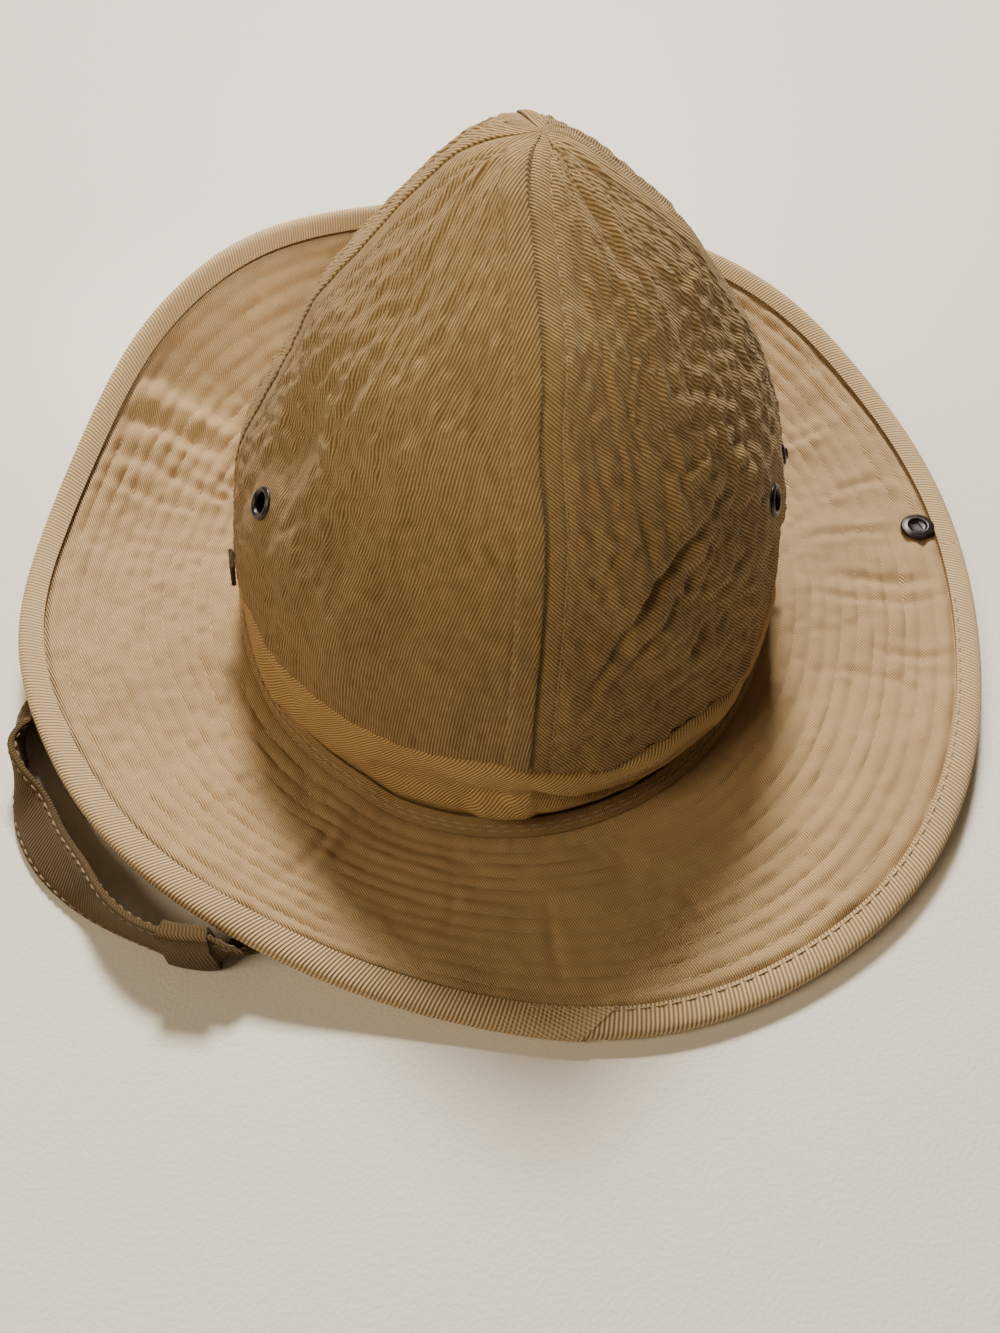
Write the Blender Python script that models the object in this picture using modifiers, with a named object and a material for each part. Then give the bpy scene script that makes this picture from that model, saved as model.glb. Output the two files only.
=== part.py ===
"""Soft bush hat in cotton twill, lying on its band with the chin strap beside it.

Metres, +Z up. The hat's front looks along -Y and its underside lies on the plane z = 0.
The origin is the middle of the hat's outline on that plane. Azimuths run anticlockwise
seen from above, from +X, so that the front is at 270 degrees.
"""
import math
from collections import namedtuple

import bmesh
import bpy
import numpy as np
from mathutils import Matrix, Vector

for old in list(bpy.data.objects):
    bpy.data.objects.remove(old, do_unlink=True)

# Head opening and crown
HEAD_WIDTH = 0.1752
HEAD_LENGTH = 0.2060
CROWN_TOP = 0.1505
CROWN_LEAN = -0.0030
SEAM_TURN = math.radians(3.7)
GORE_COUNT = 4
CROWN_CLOTH = 0.0016
SEAM_WIDTH = 0.0085
SEAM_RISE = 0.0008
APEX_RADIUS = 0.0006

# Band and the tape at its foot
BAND_HEIGHT = 0.0300
BAND_CLOTH = 0.0015
TAPE_WIDTH = 0.0043
TAPE_HEIGHT = 0.0044
TAPE_SHOULDER = 0.0014

# Brim and its binding
BRIM_WIDTH = 0.0670
BRIM_CLOTH = 0.0022
BRIM_FLAT = 0.0030
BINDING_WIDTH = 0.0074
BINDING_CLOTH = 0.0011
BINDING_ROUND = 0.0012
JOIN_AZIMUTH = 276.0
JOIN_SPAN = 5.0
JOIN_SLANT = 4.4
JOIN_CLOTH = 0.0005
JOIN_INSET = 0.0012
JOIN_COLUMNS = 4

# Chin strap and keeper
STRAP_WIDTH = 0.0150
STRAP_CLOTH = 0.0024
STRAP_STEP = 0.0045
STRAP_FLOAT = 0.0002
KEEPER_LENGTH = 0.0125
KEEPER_CLOTH = 0.0012
KEEPER_POINT = 16
KEEPER_GAP = 0.0005
TUNNEL_HALF_WIDTH = 0.0125
TUNNEL_RUNOUT = 0.0150

# Metal fittings
EYELET_WIDTH = 0.0092
EYELET_BORE = 0.0054
EYELET_BARREL = 0.0066
EYELET_RIM = 0.0008
SNAP_WIDTH = 0.0104
SNAP_RIM = 0.0016
SNAP_POST = 0.0036
SNAP_SLOT_LENGTH = 0.0040
SNAP_SLOT_WIDTH = 0.0026
STUD_BASE_WIDTH = 0.0084
STUD_KNOB_WIDTH = 0.0042
STUD_KNOB_HEIGHT = 0.0022

# Tab at the left seam
TAB_HEIGHT = 0.0085
TAB_WIDTH = 0.0080
TAB_CLOTH = 0.0014

GAP = 0.00034
FITTING_GAP = 0.0007
AROUND = 64
CROWN_ROWS = 14
BAND_ROWS = 4
BRIM_ROWS = 5
TURNED_SIDES = 12

# Crown sections, from the brim to the top. The height is a share of CROWN_TOP, left and right
# are shares of half of HEAD_WIDTH, and squareness is the power of the section's oval: 2 is a
# plain oval, less makes the four seams stand out as soft corners.
CrownSection = namedtuple("CrownSection", "height left right power")
CROWN_SECTIONS = (
    CrownSection(0.017, 1.006, 1.019, 2.00),
    CrownSection(0.106, 0.982, 0.995, 2.00),
    CrownSection(0.198, 0.958, 0.970, 1.97),
    CrownSection(0.304, 0.925, 0.950, 1.92),
    CrownSection(0.409, 0.867, 0.917, 1.86),
    CrownSection(0.515, 0.757, 0.847, 1.80),
    CrownSection(0.620, 0.642, 0.754, 1.74),
    CrownSection(0.726, 0.530, 0.626, 1.68),
    CrownSection(0.805, 0.400, 0.525, 1.66),
    CrownSection(0.871, 0.284, 0.399, 1.66),
    CrownSection(0.924, 0.186, 0.290, 1.70),
    CrownSection(0.964, 0.110, 0.205, 1.80),
    CrownSection(0.990, 0.010, 0.140, 1.90),
    CrownSection(1.000, -0.078, 0.108, 2.00),
)

# Brim sections, one every 15 degrees. Reach and lift of the edge are shares of BRIM_WIDTH,
# middle is the share of the lift that is reached half way out, and band is the height of
# the band's top as a share of BAND_HEIGHT.
RimSection = namedtuple("RimSection", "azimuth reach lift middle band")
RIM_SECTIONS = (
    RimSection(0, 0.975, 0.118, 0.42, 0.96),
    RimSection(15, 0.980, 0.163, 0.42, 0.98),
    RimSection(30, 0.966, 0.252, 0.40, 1.00),
    RimSection(45, 0.948, 0.387, 0.38, 1.00),
    RimSection(60, 0.882, 0.491, 0.37, 1.00),
    RimSection(75, 0.800, 0.566, 0.36, 1.00),
    RimSection(90, 0.734, 0.640, 0.36, 1.00),
    RimSection(105, 0.666, 0.730, 0.36, 1.00),
    RimSection(120, 0.681, 0.790, 0.36, 1.00),
    RimSection(135, 0.718, 0.804, 0.36, 1.00),
    RimSection(150, 0.852, 0.610, 0.37, 1.00),
    RimSection(165, 0.913, 0.372, 0.40, 0.98),
    RimSection(180, 0.966, 0.222, 0.42, 0.98),
    RimSection(195, 0.985, 0.200, 0.42, 1.03),
    RimSection(210, 0.925, 0.200, 0.42, 1.13),
    RimSection(225, 0.860, 0.215, 0.42, 1.13),
    RimSection(240, 0.793, 0.212, 0.42, 1.15),
    RimSection(255, 0.755, 0.095, 0.45, 1.22),
    RimSection(270, 0.797, 0.034, 0.62, 1.19),
    RimSection(285, 0.896, 0.032, 0.62, 0.94),
    RimSection(300, 0.963, 0.046, 0.58, 0.91),
    RimSection(315, 1.007, 0.073, 0.50, 0.81),
    RimSection(330, 0.994, 0.103, 0.42, 0.79),
    RimSection(345, 0.973, 0.103, 0.42, 0.89),
)

# Broad folds of the crown. Azimuth and height (a share of CROWN_TOP) place the middle, lean is
# how far the fold turns from upright, and length, width and depth are shares of CROWN_TOP.
CrownFold = namedtuple("CrownFold", "azimuth height lean length width depth")
CROWN_FOLDS = (
    CrownFold(297, 0.33, -48, 0.24, 0.040, 0.012),
    CrownFold(309, 0.42, -48, 0.26, 0.040, 0.013),
    CrownFold(322, 0.52, -44, 0.22, 0.045, 0.011),
    CrownFold(300, 0.62, -30, 0.22, 0.040, 0.008),
    CrownFold(246, 0.42, 8, 0.30, 0.050, 0.010),
    CrownFold(228, 0.50, 14, 0.26, 0.050, 0.010),
    CrownFold(205, 0.58, 20, 0.20, 0.050, 0.012),
    CrownFold(150, 0.45, -16, 0.28, 0.050, 0.010),
    CrownFold(118, 0.55, 18, 0.28, 0.050, 0.009),
    CrownFold(60, 0.42, 22, 0.28, 0.050, 0.010),
    CrownFold(30, 0.60, -18, 0.24, 0.050, 0.009),
)

# Folds that run along the slack band. Both ends are azimuth and height (a share of the band),
# width is a share of the band's height, and depth a share of BAND_HEIGHT (inwards above 0).
BandFold = namedtuple("BandFold", "start start_height end end_height width depth")
BAND_FOLDS = (
    BandFold(192, 0.62, 246, 0.66, 0.16, 0.050),
    BandFold(240, 0.64, 272, 0.40, 0.16, 0.060),
    BandFold(272, 0.52, 324, 0.14, 0.20, 0.110),
    BandFold(262, 0.30, 276, 0.30, 0.16, -0.060),
    BandFold(20, 0.55, 70, 0.60, 0.18, 0.045),
    BandFold(95, 0.50, 160, 0.58, 0.18, 0.045),
)

# Azimuths where the strap passes under the band seam, which rides over it there.
STRAP_TUNNELS = {"left": 194.0, "front_left": 233.0, "right": 357.5}

# Route of the strap's middle line, measured from the middle of the head opening: out from
# under the seam on the left, round beside the hat, through the keeper, under the brim and the
# seam again, and straight across the opening to the right. Turn is the tilt of the strap's
# width about its route in degrees: 0 lies flat, 90 stands on edge, 180 is flat again. Lift
# raises it off the ground, where the keeper lies under it.
StrapPoint = namedtuple("StrapPoint", "x y turn lift")
STRAP_ROUTE = (
    StrapPoint(-0.0740, -0.0190, 0, 0.0),
    StrapPoint(-0.0880, -0.0235, 0, 0.0),
    StrapPoint(-0.1040, -0.0285, 0, 0.0),
    StrapPoint(-0.1170, -0.0340, 4, 0.0),
    StrapPoint(-0.1290, -0.0410, 12, 0.0),
    StrapPoint(-0.1370, -0.0500, 14, 0.0),
    StrapPoint(-0.1415, -0.0605, 20, 0.0),
    StrapPoint(-0.1424, -0.0690, 56, 0.0),
    StrapPoint(-0.1418, -0.0770, 84, 0.0),
    StrapPoint(-0.1390, -0.0865, 66, 0.0),
    StrapPoint(-0.1335, -0.0960, 38, 0.0),
    StrapPoint(-0.1260, -0.1070, 36, 0.0),
    StrapPoint(-0.1160, -0.1170, 48, 0.0),
    StrapPoint(-0.1045, -0.1265, 74, 0.0003),
    StrapPoint(-0.0940, -0.1325, 86, 0.0012),
    StrapPoint(-0.0875, -0.1351, 86, 0.0018),
    StrapPoint(-0.0808, -0.1365, 86, 0.0018),
    StrapPoint(-0.0770, -0.1368, 86, 0.0018),
    StrapPoint(-0.0738, -0.1367, 92, 0.0016),
    StrapPoint(-0.0692, -0.1348, 136, 0.0004),
    StrapPoint(-0.0660, -0.1295, 168, 0.0),
    StrapPoint(-0.0642, -0.1210, 178, 0.0),
    StrapPoint(-0.0625, -0.1110, 180, 0.0),
    StrapPoint(-0.0600, -0.0980, 180, 0.0),
    StrapPoint(-0.0550, -0.0860, 180, 0.0),
    StrapPoint(-0.0460, -0.0745, 180, 0.0),
    StrapPoint(-0.0320, -0.0610, 180, 0.0),
    StrapPoint(-0.0120, -0.0440, 180, 0.0),
    StrapPoint(0.0120, -0.0290, 180, 0.0),
    StrapPoint(0.0380, -0.0170, 180, 0.0),
    StrapPoint(0.0620, -0.0090, 180, 0.0),
    StrapPoint(0.0850, -0.0040, 180, 0.0),
)

# Places of the fittings. Azimuths are in degrees, heights shares of CROWN_TOP.
EYELETS = {"eyelet_left": (204.2, 0.450), "eyelet_right": (339.5, 0.421)}
STUD_AZIMUTH = 354.0
STUD_HEIGHT = 0.400
SNAP_AZIMUTH = 3.2
SNAP_EDGE_DISTANCE = 0.0130
TAB_AZIMUTH = 195.0
TAB_CENTRE = 0.200

# Distance from the foot of the seam tape in to the band, and on to the brim's inner edge.
BAND_SEAT = TAPE_WIDTH + GAP
BRIM_TUCK = BAND_SEAT + BAND_CLOTH + GAP
TUNNEL_RISE = STRAP_CLOTH + STRAP_FLOAT + 2 * GAP


def table_column(rows, column):
    """One named column of a table as an array."""
    return np.array([getattr(row, column) for row in rows], dtype=float)


def ring_value(column, azimuth):
    """A column of RIM_SECTIONS at any azimuth: the closed cubic spline through its even rows."""
    values = table_column(RIM_SECTIONS, column)
    count = len(values)
    ring = np.roll(np.eye(count), 1, axis=1) + np.roll(np.eye(count), -1, axis=1)
    turn = np.roll(values, -1) - 2 * values + np.roll(values, 1)
    bend = np.linalg.solve((4 * np.eye(count) + ring) / 6, turn)
    place = np.mod(azimuth, 2 * np.pi) * count / (2 * np.pi)
    low = np.floor(place).astype(int) % count
    high = (low + 1) % count
    part = place - np.floor(place)
    rest = 1 - part
    straight = rest * values[low] + part * values[high]
    return straight + (rest ** 3 - rest) * bend[low] / 6 + (part ** 3 - part) * bend[high] / 6


def smooth_curve(stations, values, place):
    """A smooth open curve through values at rising stations, with slopes from its neighbours."""
    slopes = np.gradient(values, stations)
    low = np.clip(np.searchsorted(stations, place, side="right") - 1, 0, len(stations) - 2)
    span = stations[low + 1] - stations[low]
    part = (place - stations[low]) / span
    rest = 1 - part
    value = (1 + 2 * part) * rest ** 2 * values[low] + part ** 2 * (3 - 2 * part) * values[low + 1]
    return value + part * rest * span * (rest * slopes[low] - part * slopes[low + 1])


def smooth_step(value):
    """Rises from 0 to 1 as the value does, level at both ends."""
    value = np.clip(value, 0, 1)
    return value * value * (3 - 2 * value)


def opening_point(azimuth):
    """Foot of the seam tape, on the oval round the head opening, and the way out from it."""
    foot = np.stack([HEAD_WIDTH / 2 * np.cos(azimuth), HEAD_LENGTH / 2 * np.sin(azimuth)], axis=-1)
    out = np.stack([np.cos(azimuth) / HEAD_WIDTH, np.sin(azimuth) / HEAD_LENGTH], axis=-1)
    return foot, out / np.linalg.norm(out, axis=-1, keepdims=True)


def outline_middle():
    """Middle of the brim's outline, which the origin is set to."""
    azimuth = np.linspace(0, 2 * np.pi, 1440, endpoint=False)
    foot, out = opening_point(azimuth)
    edge = foot + out * (ring_value("reach", azimuth) * BRIM_WIDTH)[:, None]
    return (edge.max(axis=0) + edge.min(axis=0)) / 2


HEAD_MIDDLE = -outline_middle()

# The way along the crown's side, from section to section, is the crown's own upright measure.
SECTION_HEIGHT = table_column(CROWN_SECTIONS, "height") * CROWN_TOP
SECTION_LEFT = table_column(CROWN_SECTIONS, "left") * HEAD_WIDTH / 2
SECTION_RIGHT = table_column(CROWN_SECTIONS, "right") * HEAD_WIDTH / 2
SECTION_POWER = table_column(CROWN_SECTIONS, "power")
SECTION_HALF = (SECTION_LEFT + SECTION_RIGHT) / 2
SECTION_WAY = np.concatenate(
    [[0], np.cumsum(np.hypot(np.diff(SECTION_HEIGHT), np.diff(SECTION_HALF)))]
)
CROWN_WAY = SECTION_WAY[-1]


def way_at_height(height):
    """How far up the crown's side a height is."""
    way = np.linspace(0, CROWN_WAY, 600)
    return np.interp(height, smooth_curve(SECTION_WAY, SECTION_HEIGHT, way), way)


def crown_folds(azimuth, height):
    """Depth of the broad folds: the sum of long soft dents, each a Gaussian turned by its lean."""
    depth = np.zeros(np.broadcast(azimuth, height).shape)
    for fold in CROWN_FOLDS:
        turn = np.mod(azimuth - math.radians(fold.azimuth) + np.pi, 2 * np.pi) - np.pi
        across = turn * HEAD_WIDTH / 2
        up = height - fold.height * CROWN_TOP
        lean = math.radians(fold.lean)
        along = up * math.cos(lean) + across * math.sin(lean)
        aside = across * math.cos(lean) - up * math.sin(lean)
        spread = (along / (fold.length * CROWN_TOP)) ** 2 * 4
        depth = depth + fold.depth * CROWN_TOP * np.exp(
            -spread - (aside / (fold.width * CROWN_TOP)) ** 2
        )
    return depth


def crown_oval(azimuth, way, outset=0.0):
    """Point of the crown's smooth form: an oval with soft corners, set out by outset."""
    left = smooth_curve(SECTION_WAY, SECTION_LEFT, way)
    right = smooth_curve(SECTION_WAY, SECTION_RIGHT, way)
    power = smooth_curve(SECTION_WAY, SECTION_POWER, way)
    height = smooth_curve(SECTION_WAY, SECTION_HEIGHT, way)
    half = (left + right) / 2
    turned = azimuth - SEAM_TURN
    corner = (np.abs(np.cos(turned)) ** power + np.abs(np.sin(turned)) ** power) ** (-1 / power)
    half_length = half * HEAD_LENGTH / HEAD_WIDTH
    x = (right - left) / 2 + (half * corner + outset) * np.cos(azimuth)
    lean = CROWN_LEAN * (height / CROWN_TOP) ** 1.5
    y = lean + (half_length * corner + outset) * np.sin(azimuth)
    return np.stack([x + HEAD_MIDDLE[0], y + HEAD_MIDDLE[1], height + 0 * x], axis=-1)


def crown_point(azimuth, way):
    """Outer face of the crown: its form, with the welts raised along the seams and the folds."""
    quarter = 2 * np.pi / GORE_COUNT
    off_seam = np.abs(np.mod(azimuth - SEAM_TURN + quarter / 2, quarter) - quarter / 2)
    half = smooth_curve(SECTION_WAY, SECTION_HALF, way)
    height = smooth_curve(SECTION_WAY, SECTION_HEIGHT, way)
    welt = 1 - smooth_step(off_seam * half / SEAM_WIDTH - 0.5)
    fade = smooth_step(half / SEAM_WIDTH / 2)
    outset = (SEAM_RISE * welt - crown_folds(azimuth, height)) * fade
    return crown_oval(azimuth, way, outset)


def crown_outwards(azimuth, way):
    """Way out of the crown's smooth form: the cross of its ways round and up.

    Two gores that meet at a seam take it from the same form, so their edges stay GAP apart.
    """
    step = 0.0005
    around = crown_oval(azimuth + step, way) - crown_oval(azimuth - step, way)
    above = crown_oval(azimuth, np.minimum(way + step, CROWN_WAY))
    climb = above - crown_oval(azimuth, np.maximum(way - step, 0))
    outwards = np.cross(around, climb)
    return outwards / np.linalg.norm(outwards, axis=-1, keepdims=True)


def tunnel_lift(azimuth):
    """How far the seam rides up over the strap where the strap passes under it."""
    lift = np.zeros(np.shape(azimuth))
    for place in STRAP_TUNNELS.values():
        turn = np.abs(np.mod(azimuth - math.radians(place) + np.pi, 2 * np.pi) - np.pi)
        off = turn * (HEAD_WIDTH + HEAD_LENGTH) / 4
        lift = np.maximum(lift, 1 - smooth_step((off - TUNNEL_HALF_WIDTH) / TUNNEL_RUNOUT))
    return lift * TUNNEL_RISE


def brim_frame(azimuth, share):
    """Middle surface of the brim, from the seam tape's foot (0) to the edge (1).

    Gives the point, the way out along the cloth and the way up from it. The cloth is flat
    for BRIM_FLAT, then rises as a power of the way out.
    """
    foot, out = opening_point(azimuth)
    reach = ring_value("reach", azimuth) * BRIM_WIDTH
    lift = ring_value("lift", azimuth) * BRIM_WIDTH
    power = np.log(ring_value("middle", azimuth)) / math.log(0.5)
    base = tunnel_lift(azimuth)
    way = share * reach
    free = reach - BRIM_FLAT
    part = np.clip((way - BRIM_FLAT) / free, 1e-6, None)
    rise = base * (1 - np.minimum(part, 1)) + lift * part ** power
    slope = np.where(way > BRIM_FLAT, (lift * power * part ** (power - 1) - base) / free, 0)
    steep = np.sqrt(1 + slope ** 2)
    plan = foot + out * way[..., None] + HEAD_MIDDLE
    point = np.concatenate([plan, (BRIM_CLOTH / 2 + rise)[..., None]], axis=-1)
    along = np.concatenate([out, slope[..., None]], axis=-1) / steep[..., None]
    up = np.concatenate([-out * slope[..., None], np.ones_like(slope)[..., None]], axis=-1)
    return point, along, up / steep[..., None]


collection = bpy.data.collections.new("bush_hat")
bpy.context.scene.collection.children.link(collection)
cutters = bpy.data.collections.new("cutters")
bpy.context.scene.collection.children.link(cutters)


def make_material(name, colour, roughness, metallic=0.0):
    """A plain material with the piece's colour, roughness and metallic value."""
    material = bpy.data.materials.new(name)
    material.use_nodes = True
    shader = material.node_tree.nodes["Principled BSDF"]
    shader.inputs["Base Color"].default_value = (*colour, 1.0)
    shader.inputs["Roughness"].default_value = roughness
    shader.inputs["Metallic"].default_value = metallic
    material.diffuse_color = (*colour, 1.0)
    return material


def add_object(name, mesh, material, smooth_angle=40):
    """Put a mesh in the scene as one named piece with its own material."""
    mesh.materials.append(material)
    mesh.shade_smooth()
    mesh.set_sharp_from_angle(angle=math.radians(smooth_angle))
    piece = bpy.data.objects.new(name, mesh)
    collection.objects.link(piece)
    return piece


def grid_mesh(name, grid, closed_across=False, closed_along=False):
    """Mesh of a grid of points, rows by columns, closed on itself where asked."""
    rows, columns = grid.shape[:2]
    row, column = np.meshgrid(
        np.arange(rows if closed_along else rows - 1),
        np.arange(columns if closed_across else columns - 1),
        indexing="ij",
    )
    next_row = (row + 1) % rows
    next_column = (column + 1) % columns
    faces = np.stack(
        [
            row * columns + column,
            row * columns + next_column,
            next_row * columns + next_column,
            next_row * columns + column,
        ],
        axis=-1,
    )
    mesh = bpy.data.meshes.new(name)
    mesh.from_pydata(grid.reshape(-1, 3).tolist(), [], faces.reshape(-1, 4).tolist())
    return mesh


def wall_mesh(name, outer, inner, ring):
    """Closed wall of cloth between two grids of points, rows by columns.

    A ring goes all the way round. Any other wall is closed at its first and last column too.
    """
    grid = np.concatenate([outer, inner[::-1]])
    mesh = grid_mesh(name, grid, closed_across=ring, closed_along=True)
    shape = bmesh.new()
    shape.from_mesh(mesh)
    if not ring:
        shape.verts.ensure_lookup_table()
        rows, columns = grid.shape[:2]
        for column in (0, columns - 1):
            for row in range(rows // 2 - 1):
                back = rows - 1 - row
                corners = (row, row + 1, back - 1, back)
                shape.faces.new([shape.verts[corner * columns + column] for corner in corners])
    bmesh.ops.recalc_face_normals(shape, faces=shape.faces)
    shape.to_mesh(mesh)
    shape.free()
    return mesh


def add_cutter(name, radius, height, matrix):
    """A round cutter for the hole of a fitting."""
    mesh = bpy.data.meshes.new(name)
    shape = bmesh.new()
    bmesh.ops.create_cone(
        shape, cap_ends=True, segments=TURNED_SIDES, radius1=radius, radius2=radius, depth=height
    )
    shape.to_mesh(mesh)
    shape.free()
    cutter = bpy.data.objects.new(name, mesh)
    cutter.matrix_world = matrix
    cutter.display_type = "WIRE"
    cutter.hide_render = True
    cutters.objects.link(cutter)
    return cutter


def cut(piece, cutter):
    """Cut a hole through a piece."""
    boolean = piece.modifiers.new("hole", "BOOLEAN")
    boolean.operation = "DIFFERENCE"
    boolean.object = cutter
    boolean.solver = "EXACT"


def add_turned(name, profile, matrix, material):
    """A turned fitting: its closed profile of radius and height is spun about local Z."""
    radius, height = np.array(profile).T
    angle = np.linspace(0, 2 * np.pi, TURNED_SIDES, endpoint=False)
    grid = np.stack(
        [
            np.cos(angle)[:, None] * radius,
            np.sin(angle)[:, None] * radius,
            np.ones_like(angle)[:, None] * height,
        ],
        axis=-1,
    )
    mesh = grid_mesh(name, grid, closed_across=True, closed_along=True)
    shape = bmesh.new()
    shape.from_mesh(mesh)
    bmesh.ops.remove_doubles(shape, verts=shape.verts, dist=1e-6)
    bare = [edge for edge in shape.edges if not edge.link_faces]
    bmesh.ops.delete(shape, geom=bare, context="EDGES")
    bmesh.ops.recalc_face_normals(shape, faces=shape.faces)
    shape.to_mesh(mesh)
    shape.free()
    piece = add_object(name, mesh, material)
    piece.matrix_world = matrix
    return piece


def surface_matrix(point, normal, tangent):
    """Placement whose Z points out of the cloth and whose X follows the tangent."""
    z = Vector(normal).normalized()
    x = (Vector(tangent) - Vector(tangent).dot(z) * z).normalized()
    y = z.cross(x)
    matrix = Matrix((x, y, z)).transposed().to_4x4()
    matrix.translation = Vector(point)
    return matrix


def crown_matrix(azimuth_degrees, height_share):
    """Placement on the crown's outer face, Z out of the cloth and X upwards along it."""
    azimuth = math.radians(azimuth_degrees)
    way = float(way_at_height(height_share * CROWN_TOP))
    step = 0.004
    around = math.radians(2)
    point = crown_point(np.array(azimuth), np.array(way))
    upwards = crown_point(np.array(azimuth), np.array(way + step)) - point
    aside = crown_point(np.array(azimuth + around), np.array(way)) - point
    normal = np.cross(aside, upwards)
    return surface_matrix(point, normal, upwards)


crown_twill = make_material("crown_twill", (0.36, 0.25, 0.12), 0.85)
band_twill = make_material("band_twill", (0.34, 0.23, 0.10), 0.85)
brim_twill = make_material("brim_twill", (0.47, 0.34, 0.19), 0.85)
binding_twill = make_material("binding_twill", (0.46, 0.34, 0.19), 0.80)
tape_twill = make_material("tape_twill", (0.40, 0.28, 0.14), 0.80)
strap_twill = make_material("strap_twill", (0.30, 0.21, 0.10), 0.85)
tab_cloth = make_material("tab_cloth", (0.10, 0.06, 0.03), 0.80)
gunmetal = make_material("gunmetal", (0.10, 0.09, 0.09), 0.35, 0.9)


def ring_azimuths():
    """Azimuths shared by every piece that goes round, with a column on each crown seam."""
    return SEAM_TURN + np.arange(AROUND) * 2 * np.pi / AROUND


def band_top_way(azimuth):
    """How far up the crown's side the band ends."""
    return way_at_height(ring_value("band", azimuth) * BAND_HEIGHT)


def make_gore(name, index):
    """One gore: a quarter of the crown's face between two seams, from band to top."""
    quarter = 2 * np.pi / GORE_COUNT
    start = SEAM_TURN + index * quarter
    columns = AROUND // GORE_COUNT
    share = np.linspace(0, 1, columns + 1)[None, :]
    up = np.linspace(0, 1, CROWN_ROWS + 1)[:, None]
    foot = band_top_way(start + share * quarter) + GAP
    top = CROWN_WAY - APEX_RADIUS
    way = foot + (top - foot) * up
    half = smooth_curve(SECTION_WAY, SECTION_HALF, way)
    seam_gap = GAP / 2 / np.maximum(half, APEX_RADIUS)
    azimuth = start + np.clip(share * quarter, seam_gap, quarter - seam_gap)
    outer = crown_point(azimuth, way)
    inner = outer - crown_outwards(azimuth, way) * CROWN_CLOTH
    return add_object(name, wall_mesh(name, outer, inner, False), crown_twill)


def band_folds(azimuth, share):
    """Depth of the folds along the band: Gaussian grooves between two places each."""
    depth = np.zeros(np.broadcast(azimuth, share).shape)
    degrees = np.degrees(azimuth)
    for fold in BAND_FOLDS:
        along = np.mod(degrees - fold.start + 180, 360) - 180
        part = along / (fold.end - fold.start)
        middle = fold.start_height + (fold.end_height - fold.start_height) * part
        inside = smooth_step(part / 0.25) * smooth_step((1 - part) / 0.25)
        groove = np.exp(-(((share - middle) / fold.width) ** 2))
        depth = depth + fold.depth * BAND_HEIGHT * inside * groove
    return depth


def band_point(azimuth, share):
    """Outer face of the band: upright behind the tape, then out to the crown's face.

    The share is 0 at the tape's top and 1 at the band's own top. Below 0 it is a share of
    the tape's height.
    """
    foot, out = opening_point(azimuth)
    seat_height = BRIM_CLOTH + GAP + tunnel_lift(azimuth)
    tape_top = seat_height + TAPE_HEIGHT
    top_height = smooth_curve(SECTION_WAY, SECTION_HEIGHT, band_top_way(azimuth) - GAP)
    height = tape_top + np.where(share < 0, TAPE_HEIGHT, top_height - tape_top) * share
    seat = foot - out * BAND_SEAT + HEAD_MIDDLE
    face = crown_oval(azimuth, way_at_height(height))
    blend = smooth_step((height - tape_top) / (BAND_HEIGHT / 3))[..., None]
    plan = seat * (1 - blend) + face[..., :2] * blend - out * band_folds(azimuth, share)[..., None]
    return np.concatenate([plan, height[..., None]], axis=-1)


def make_band():
    """The slack band round the foot of the crown, standing on the brim."""
    share = np.concatenate([[-1.0], np.linspace(0, 1, BAND_ROWS)])[:, None]
    azimuth = ring_azimuths()[None, :] + 0 * share
    outer = band_point(azimuth, share + 0 * azimuth)
    _, out = opening_point(azimuth)
    inner = outer - np.concatenate([out, 0 * out[..., :1]], axis=-1) * BAND_CLOTH
    mesh = wall_mesh("hat_band", outer, inner, True)
    return add_object("hat_band", mesh, band_twill)


def make_tape():
    """The seam tape: a low wedge that fills the corner of band and brim."""
    azimuth = ring_azimuths()
    foot, out = opening_point(azimuth)
    floor = BRIM_CLOTH + GAP + tunnel_lift(azimuth)
    section = (
        (0.0, 0.0),
        (-GAP, TAPE_SHOULDER / 2),
        (-TAPE_WIDTH / 3, TAPE_SHOULDER),
        (-TAPE_WIDTH, TAPE_HEIGHT - GAP),
        (-TAPE_WIDTH, 0.0),
    )
    rows = []
    for inwards, height in section:
        plan = foot + out * inwards + HEAD_MIDDLE
        rows.append(np.concatenate([plan, (floor + height)[:, None]], axis=-1))
    mesh = grid_mesh("brim_seam_tape", np.array(rows), closed_across=True, closed_along=True)
    return add_object("brim_seam_tape", mesh, tape_twill)


def edge_share(azimuth, inwards):
    """The share of the brim that lies a length of cloth inwards from its edge."""
    point, _, _ = brim_frame(azimuth, np.full(azimuth.shape, 1.0))
    inner, _, _ = brim_frame(azimuth, np.full(azimuth.shape, 0.9))
    return 1 - inwards * 0.1 / np.linalg.norm(point - inner, axis=-1)


def make_brim():
    """The quilted brim: a ring of two-ply cloth from under the band to inside the binding."""
    around = ring_azimuths()
    reach = ring_value("reach", around) * BRIM_WIDTH
    flat = BRIM_FLAT / reach
    bound = edge_share(around, BINDING_WIDTH)
    rows = [-BRIM_TUCK / reach, -BRIM_TUCK / 3 / reach]
    rows += [flat + (bound - flat) * part for part in np.linspace(0, 1, BRIM_ROWS)]
    rows.append(edge_share(around, BINDING_CLOTH + GAP))
    share = np.array(rows)
    azimuth = np.broadcast_to(around[None, :], share.shape)
    middle, _, up = brim_frame(azimuth, share)
    half = up * BRIM_CLOTH / 2
    return add_object("brim", wall_mesh("brim", middle + half, middle - half, True), brim_twill)


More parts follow.
